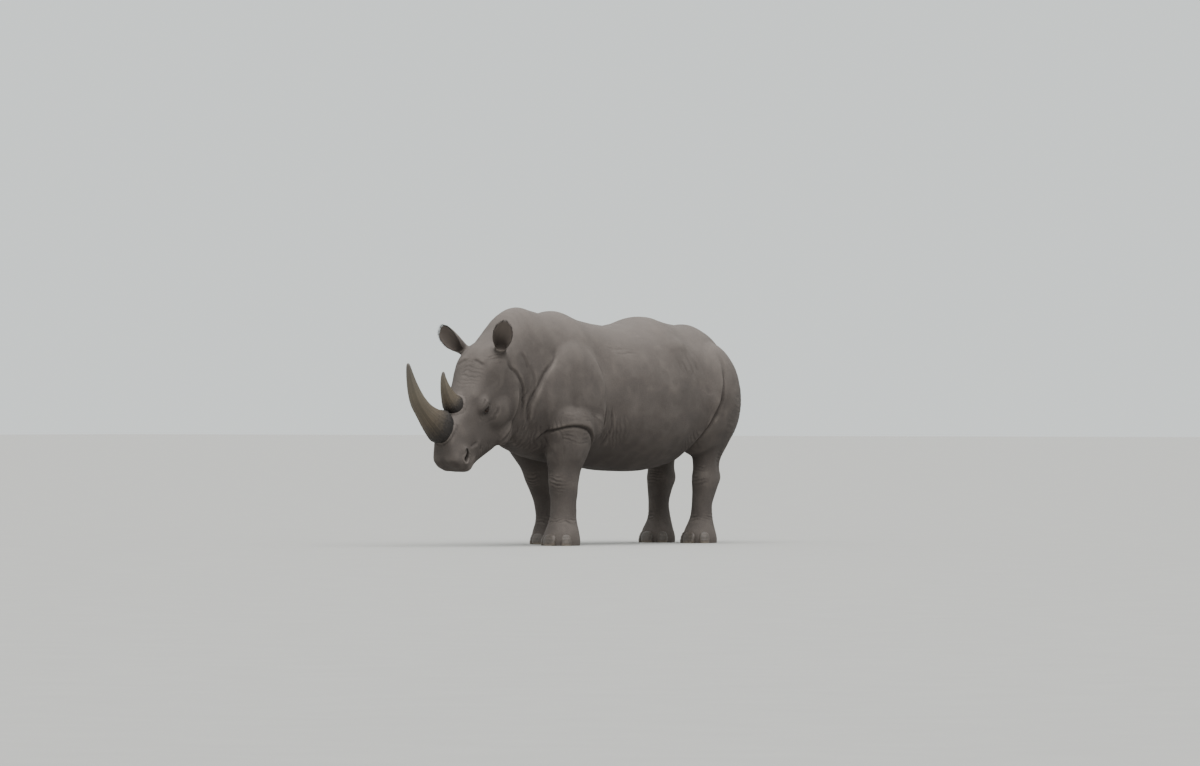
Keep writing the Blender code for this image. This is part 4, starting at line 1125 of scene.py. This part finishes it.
def make_brush():
    """The brush at the tail's end: long bristles in two ranks, and all round its tip."""
    chance = np.random.default_rng(3)
    count = 520
    drop = chance.uniform(0, 1, count)
    rows = between([(z, y, r) for y, z, r in TAIL[::-1][1:]], 0.01)
    height = 0.805 + 0.19 * drop**1.5
    back = np.interp(height, rows[:, 0], rows[:, 1])
    radius = np.interp(height, rows[:, 0], rows[:, 2]) * 0.8
    turn = np.where(
        drop > 0.35, chance.choice([0, math.pi], count) + chance.normal(0, 0.35, count),
        chance.uniform(0, 2 * math.pi, count),
    )
    aside = np.stack([np.cos(turn), np.sin(turn), np.zeros(count)], axis=1)
    roots = np.stack([0 * back, back, height], axis=1) + aside * radius[:, None]
    lengths = chance.uniform(0.05, 0.14, count)
    ways = unit(np.array([0, 0, -1]) + aside * chance.uniform(0.05, 0.30, count)[:, None])
    droop = np.stack([0 * back, 0 * back, np.full(count, -0.15)], axis=1) - 0.12 * aside
    places = np.stack([0.02 + 0.1 * (turn / (2 * math.pi) % 1), 0.05 + 0.9 * drop], axis=1)
    widths = chance.uniform(0.0008, 0.0015, count)
    return hairs("tail_bristles", roots, ways, lengths, widths, droop, places,
                 replaced=("tail_brush",))


def make_fringe(name):
    """The dark fringe on an ear: short hairs all along the leaf's rim, longest at its tip."""
    chance = np.random.default_rng(5 if name.endswith("left") else 6)
    count = 1600
    leaf = ear_leaf(name, 0.0)
    place = 0.10 + 0.90 * chance.uniform(0, 1, count) ** 0.65
    row = np.minimum(place * (len(leaf) - 1), len(leaf) - 1.001)
    low, part = row.astype(int), (row % 1)[:, None]
    edge = chance.integers(0, 2, count) * -1
    inner = np.where(edge == 0, 3, -4)
    rim = leaf[low, edge] * (1 - part) + leaf[low + 1, edge] * part
    within = leaf[low, inner] * (1 - part) + leaf[low + 1, inner] * part
    capped = chance.uniform(0, 1, (count, 1)) < 0.07  # over the tip, from edge to edge
    column = chance.integers(0, leaf.shape[1], count)
    rim = np.where(capped, leaf[-1, column], rim)
    within = np.where(capped, leaf[-4, column], within)
    _, axis, opening, _ = ear_axes(name)
    outwards = unit(rim - within)
    depth = chance.uniform(0, 0.010, count)[:, None]
    roots = rim - outwards * (0.002 + depth) + chance.normal(0, 0.0016, (count, 3))
    tip = np.maximum(ramp(place, 0.70, 1.0), capped[:, 0])
    ways = unit(outwards * 0.5 + axis * (0.8 + 0.5 * tip[:, None]) + 0.20 * opening
                + chance.normal(0, 0.20, (count, 3)))
    lengths = chance.uniform(0.007, 0.013, count) + 0.012 * tip * chance.uniform(0.3, 1, count)
    droop = chance.normal(0, 0.22, (count, 3)) + [0, 0, -0.10]
    places = np.stack([(0.20 if name.endswith("left") else 0.30) + 0.004 - 0.05 * edge
                       + 4 * depth[:, 0], 0.05 + 0.9 * place], axis=1)
    return hairs(name + "_fringe", roots, ways, lengths, chance.uniform(0.00025, 0.00045, count),
                 droop, places)


def make_lashes(name):
    """Stiff lashes along the upper lid's edge, fanning out and curving down at their ends."""
    side = 1 if name.endswith("left") else -1
    chance = np.random.default_rng(8 + side)
    count = 44
    out, slit, upper = eye_axes(side)
    half = 0.0165  # of the row of lashes
    u = np.linspace(-half, half, count) + chance.normal(0, 0.0004, count)
    # just above an ellipse a little larger than the almond, and sunk a little in the lids' dome
    v = SLIT_BOW * u * u / SLIT_HALF + 0.0128 * np.sqrt(1 - (u / 0.0200) ** 2) + 0.0008
    w = np.sqrt(LID_RADIUS**2 - u**2 - v**2) - 0.001
    roots = EYE * (side, 1, 1) + np.outer(u, slit) + np.outer(v, upper) + np.outer(w, out)
    ways = unit(out * 0.9 + upper * 0.55 + np.outer(u / half, slit) * 0.45
                + chance.normal(0, 0.08, (count, 3)))
    lengths = chance.uniform(0.014, 0.021, count)
    droop = np.tile(-0.40 * upper, (count, 1))
    places = np.stack([0.42 + 0.05 * side + u, 0.5 + 8 * v], axis=1)
    return hairs(name + "_lashes", roots, ways, lengths, np.full(count, 0.0004), droop, places)


# ---------------------------------------------------------------- materials
COLOURS = {"data_type": "RGBA"}
DARKENED = {"data_type": "RGBA", "blend_type": "MULTIPLY"}
PLUS_SHARE = {"operation": "MULTIPLY_ADD"}  # the third input, plus the first times the second


def colour(code):
    """A colour from its sRGB hex code, in linear light."""
    parts = [int(code[i:i + 2], 16) / 255 for i in (1, 3, 5)]
    linear = [c / 12.92 if c <= 0.04045 else ((c + 0.055) / 1.055) ** 2.4 for c in parts]
    return (*linear, 1)


def feed(tree, node, inputs):
    """Fill inputs, each by its name or by i and its number: links, values or hex colours."""
    for key, value in inputs.items():
        socket = node.inputs[int(key[1:]) if key[1:].isdigit() else key]
        if isinstance(value, bpy.types.NodeSocket):
            tree.links.new(value, socket)
        else:
            socket.default_value = colour(value) if isinstance(value, str) else value


def add(tree, kind, output=0, settings=None, stops=(), **inputs):
    """An output of a new node with its settings, the stops of its colour ramp and its inputs."""
    node = tree.nodes.new("ShaderNode" + kind)
    for key, value in (settings or {}).items():
        setattr(node, key, value)
    feed(tree, node, inputs)
    if stops:
        elements = node.color_ramp.elements
        while len(elements) < len(stops):
            elements.new(0.5)
        for element, (at, code) in zip(elements, stops):
            element.position = at
            element.color = colour(code)
    return node.outputs[output]


def material(name):
    """A new material, its tree and its shader."""
    made = bpy.data.materials.new(name)
    made.use_nodes = True
    return made, made.node_tree, made.node_tree.nodes["Principled BSDF"]


def hide_material():
    """Bare thick hide: matt grey-brown, with dust and painted light above, painted shade below and in
    folds, moist skin with painted shade round the eyes and in the nostrils, and painted light and
    shade in the ears' hollows.

    Its bump is a mosaic of plates 15 mm and 6 mm across, parted by shallow cracks, with grit.
    """
    made, tree, shader = material("dusty_hide")
    place = add(tree, "TexCoord", "Object")
    clouds, broad, grime, speck, lumps = (
        add(tree, "TexNoise", "Fac", Vector=place, Scale=scale, Detail=detail, Roughness=rough)
        for scale, detail, rough in (
            (7.0, 5.0, 0.6),  # clouds 140 mm across
            (1.9, 3.0, 0.55),  # broad ones 530 mm across
            (4.5, 6.0, 0.7),  # stains and dust 220 mm across
            (150.0, 4.0, 0.65),  # specks of 7 mm
            (30.0, 4.0, 0.55),  # lumps of 33 mm
        )
    )
    upward, hollow, in_ear, moist_and_shade = (
        add(tree, "Attribute", "Fac", {"attribute_name": label})
        for label in ("upward", "hollow", "in_ear", "moist_and_shade")
    )
    tone = add(tree, "ValToRGB", Fac=clouds,
               stops=[(0.30, "#3f3936"), (0.50, "#4b4541"), (0.70, "#5a534e")])
    for share, value, stops in (
        (0.5, broad, [(0.35, "#433d3a"), (0.65, "#57504c")]),
        (0.22, speck, [(0.30, "#3b3532"), (0.62, "#6a625d")]),
    ):
        over = add(tree, "ValToRGB", Fac=value, stops=stops)
        tone = add(tree, "Mix", 2, COLOURS, i0=share, i6=tone, i7=over)
    for value, start, end, most, over in (
        (grime, 0.53, 0.66, 0.13, "#39322e"),  # stains
        (grime, 0.46, 0.34, 0.08, "#776c64"),  # patches of dust
        (upward, 0.15, 0.95, 0.42, "#746c67"),  # dust on what faces up, and painted light there
        (upward, 0.45, -0.60, 0.66, "#332d2b"),  # painted shade on what faces down
        (hollow, 0.06, 0.50, 0.85, "#2a2523"),  # painted shade in folds
        (hollow, -0.08, -0.60, 0.40, "#847a73"),  # ridges rubbed pale
        (in_ear, 0.0, 0.3, 0.45, "#7f746d"),  # painted light: paler in the ears' hollows, where little light falls
        (in_ear, 0.35, 1.0, 0.78, "#3a322e"),  # painted shade deep in the ears' hollows
        (moist_and_shade, 0.0, 1.0, 0.85, "#1d1816"),  # bare moist skin, darkened also as painted shade round the eyes and in the nostrils
    ):
        share = add(tree, "MapRange", i0=value, i1=start, i2=end, i3=0.0, i4=most)
        tone = add(tree, "Mix", 2, COLOURS, i0=share, i6=tone, i7=over)
    wander = add(tree, "TexNoise", "Color", Vector=place, Scale=22.0, Detail=2.0)
    bent = add(tree, "Mix", 2, {"data_type": "RGBA", "blend_type": "LINEAR_LIGHT"},
               i0=0.010, i6=place, i7=wander)
    edges = (
        add(tree, "TexVoronoi", "Distance", {"feature": "DISTANCE_TO_EDGE"}, Vector=bent, Scale=scale)
        for scale in (66.0, 165.0)  # plates of 15 mm and 6 mm
    )
    large, small = (
        add(tree, "MapRange", 0, {"interpolation_type": "SMOOTHSTEP"}, i0=edge, i1=0.0, i2=crack)
        for edge, crack in zip(edges, (0.14, 0.20))
    )
    height = small
    for share, value in ((1.3, large), (0.9, speck), (1.6, lumps)):
        height = add(tree, "Math", 0, PLUS_SHARE, i0=value, i1=share, i2=height)
    feed(tree, shader, {
        "Base Color": tone,
        "Roughness": add(tree, "MapRange", i0=moist_and_shade, i1=0.0, i2=1.0, i3=0.84, i4=0.42),
        "Specular IOR Level": 0.28,
        "Normal": add(tree, "Bump", Height=height, Strength=0.42, Distance=0.0011),
    })
    return made


def horn_material():
    """Keratin fibres pressed together: rough and near black at its base, olive-brown above.

    The fibres' noise is read round and along the horn and drawn out eight times along it, so it
    shows as streaks, coarser than the real fibres, which are too fine to see from here.
    """
    made, tree, shader = material("horn_keratin")
    fibres = add(tree, "Attribute", "Vector", {"attribute_name": "fibres"})
    along = add(tree, "Attribute", "Fac", {"attribute_name": "along"})
    place = add(tree, "TexCoord", "Object")
    drawn = add(tree, "VectorMath", 0, {"operation": "MULTIPLY"}, i0=fibres, i1=(1, 1, 0.12))
    fine, wide, flaky = (
        add(tree, "TexNoise", "Fac", Vector=where, Scale=scale, Detail=detail, Roughness=rough)
        for where, scale, detail, rough in (
            (drawn, 26.0, 4.0, 0.6), (drawn, 6.0, 3.0, 0.55),
            (place, 48.0, 5.0, 0.65),  # flakes of 21 mm at the base
        )
    )
    up_it, glossy, worn = (
        add(tree, "MapRange", i0=along, i1=start, i2=end, i3=least, i4=most)
        for start, end, least, most in (
            (0.0, 1.0, -0.08, 0.92), (0.1, 0.9, 0.72, 0.40), (0.35, 0.05, 0.0, 1.0))
    )
    ruffled = add(tree, "Math", 0, PLUS_SHARE, i0=flaky, i1=0.16, i2=up_it)
    tone = add(tree, "ValToRGB", Fac=ruffled, stops=[
        (0.02, "#1d1917"), (0.16, "#2b2521"), (0.32, "#5b5042"),
        (0.60, "#665d4f"), (0.85, "#5c554d"), (1.0, "#6a635b")])
    for share, value, dark, end in ((0.55, wide, "#8f8f8f", 0.7), (0.50, fine, "#909090", 0.6)):
        shade = add(tree, "ValToRGB", Fac=value, stops=[(0.3, dark), (end, "#ffffff")])
        tone = add(tree, "Mix", 2, DARKENED, i0=share, i6=tone, i7=shade)
    rough = add(tree, "Math", 0, {"operation": "MULTIPLY"}, i0=flaky, i1=worn)
    height = add(tree, "Math", 0, PLUS_SHARE, i0=wide, i1=0.6, i2=fine)
    height = add(tree, "Math", 0, PLUS_SHARE, i0=rough, i1=2.2, i2=height)
    feed(tree, shader, {
        "Base Color": tone, "Roughness": glossy, "IOR": 1.54, "Specular IOR Level": 0.35,
        "Normal": add(tree, "Bump", Height=height, Strength=0.6, Distance=0.0022),
    })
    return made


def nail_material():
    """Nail keratin: grey-brown with fine upright streaks, and pale with dust along the ground."""
    made, tree, shader = material("nail_keratin")
    place = add(tree, "TexCoord", "Object")
    drawn = add(tree, "VectorMath", 0, {"operation": "MULTIPLY"}, i0=place, i1=(1, 1, 0.1))
    streaks, spots = (
        add(tree, "TexNoise", "Fac", Vector=where, Scale=scale, Detail=detail, Roughness=0.55)
        # streaks of 4 mm, drawn coarse enough to show, and spots of 25 mm
        for where, scale, detail in ((drawn, 260.0, 3.0), (place, 40.0, 4.0))
    )
    tone = add(tree, "ValToRGB", Fac=streaks,
               stops=[(0.32, "#332d29"), (0.55, "#49413a"), (0.72, "#5f554c")])
    over = add(tree, "ValToRGB", Fac=spots, stops=[(0.35, "#3a332e"), (0.65, "#564c45")])
    tone = add(tree, "Mix", 2, COLOURS, i0=0.5, i6=tone, i7=over)
    height = add(tree, "SeparateXYZ", "Z", i0=place)
    dust = add(tree, "Math", 0, PLUS_SHARE, i0=spots, i1=-0.02, i2=height)
    dust = add(tree, "MapRange", i0=dust, i1=0.012, i2=-0.006, i3=0.0, i4=0.6)
    feed(tree, shader, {
        "Base Color": add(tree, "Mix", 2, COLOURS, i0=dust, i6=tone, i7="#7b7063"),
        "Roughness": 0.55, "IOR": 1.54,
        "Normal": add(tree, "Bump", Height=streaks, Strength=0.4, Distance=0.0008),
    })
    return made


def eye_material():
    """A wet eyeball: pupil, dark brown iris with fine spokes, and a brown-stained white."""
    made, tree, shader = material("eyeball")
    seen = add(tree, "Attribute", "Vector", {"attribute_name": "spokes"})
    gaze = add(tree, "Attribute", "Fac", {"attribute_name": "gaze"})
    spokes = add(tree, "TexNoise", "Fac", Vector=seen, Scale=9.0, Detail=3.0, Roughness=0.55)
    off_gaze = add(tree, "MapRange", i0=gaze, i1=0.0, i2=1.6, i3=-0.025, i4=0.975)
    stray = add(tree, "Math", 0, PLUS_SHARE, i0=spokes, i1=0.05, i2=off_gaze)
    tone = add(tree, "ValToRGB", Fac=stray, stops=[
        (0.11, "#060505"), (0.14, "#2c1a10"), (0.27, "#24150d"),
        (0.40, "#120c09"), (0.46, "#3a2d27"), (0.60, "#6b5a50")])
    shade = add(tree, "ValToRGB", Fac=spokes, stops=[(0.35, "#9a9a9a"), (0.65, "#ffffff")])
    feed(tree, shader, {
        "Base Color": add(tree, "Mix", 2, DARKENED, i0=0.6, i6=tone, i7=shade),
        "Roughness": 0.06, "IOR": 1.34, "Specular IOR Level": 0.4,
    })
    return made


def bristle_material():
    """Coarse hair: brown-black, a little paler here and there with dust."""
    made, tree, shader = material("bristle")
    place = add(tree, "TexCoord", "Object")
    dust = add(tree, "TexNoise", "Fac", Vector=place, Scale=90.0, Detail=3.0, Roughness=0.55)
    tone = add(tree, "ValToRGB", Fac=dust,
               stops=[(0.35, "#120f0d"), (0.55, "#1f1916"), (0.72, "#3a312b")])
    feed(tree, shader, {"Base Color": tone, "Roughness": 0.55, "IOR": 1.55})
    return made


def floor_material():
    """Plain matt studio floor with the faintest grain."""
    made, tree, shader = material("studio_floor")
    place = add(tree, "TexCoord", "Object")
    grain = add(tree, "TexNoise", "Fac", Vector=place, Scale=3.0, Detail=3.0, Roughness=0.55)
    tone = add(tree, "ValToRGB", Fac=grain, stops=[(0.3, "#9d9c99"), (0.7, "#a09f9c")])
    feed(tree, shader, {"Base Color": tone, "Roughness": 0.95, "Specular IOR Level": 0.1})
    return made


# ---------------------------------------------------------------- the model
HIDE = hide_material()
KERATIN = horn_material()
NAIL = nail_material()
EYEBALL = eye_material()
BRISTLE = bristle_material()
FLOOR = floor_material()

skin = make_skin()
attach(skin, "root")
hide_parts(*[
    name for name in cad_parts
    if not any(word in name for word in ("horn", "eye", "nail", "brush"))
])
skin.data.materials.append(HIDE)
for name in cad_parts:
    if name.startswith("horn"):
        make_horn(name).data.materials.append(KERATIN)
    elif "_nail_" in name:
        make_nail(name).data.materials.append(NAIL)
    elif name.startswith("eye"):
        make_eye(name).data.materials.append(EYEBALL)
        make_lashes(name).data.materials.append(BRISTLE)
    elif name in EARS:
        make_fringe(name).data.materials.append(BRISTLE)
make_brush().data.materials.append(BRISTLE)

# ---------------------------------------------------------------- floor, lights and camera
FLOOR_REACH = 200  # metres to each side
# The level way from the animal to the camera, how far off it is, its height, the height that it
# looks at, and how far that lies to the right in its view from the withers.
TOWARDS = (0.656, -0.755)
AWAY, CAMERA_HEIGHT, AIM_HEIGHT, AIM_RIGHT = 60, 1.0, 1.206, 0.335

corners = FLOOR_REACH * np.array([(-1, -1, 0), (1, -1, 0), (1, 1, 0), (-1, 1, 0)], float)
floor = mesh_of("studio_floor", corners, [np.array([[0, 1, 2, 3]])])
floor.data.materials.append(FLOOR)
world = bpy.data.worlds.new("studio")
bpy.context.scene.world = world
world.use_nodes = True
world.node_tree.nodes["Background"].inputs["Color"].default_value = colour("#d5dad9")
world.node_tree.nodes["Background"].inputs["Strength"].default_value = 1.45
# one wide soft light from far overhead, alike all over the floor
lamp = bpy.data.lights.new("overhead", "SUN")
lamp.angle = math.radians(75)
lamp.energy = 4.9
light = bpy.data.objects.new("overhead", lamp)
light.rotation_euler = Vector((0.25, -0.15, 1.0)).to_track_quat("Z", "Y").to_euler()
bpy.context.scene.collection.objects.link(light)

lens = bpy.data.cameras.new("camera")
lens.sensor_width = 36
lens.lens = 241.7
lens.clip_end = 500
camera = bpy.data.objects.new("camera", lens)
bpy.context.scene.collection.objects.link(camera)
aim = Vector((AIM_RIGHT * -TOWARDS[1], AIM_RIGHT * TOWARDS[0] + SHIFT[1], AIM_HEIGHT))
camera.location = aim + Vector((TOWARDS[0] * AWAY, TOWARDS[1] * AWAY, CAMERA_HEIGHT - AIM_HEIGHT))
camera.rotation_euler = (aim - camera.location).to_track_quat("-Z", "Y").to_euler()
bpy.context.scene.camera = camera
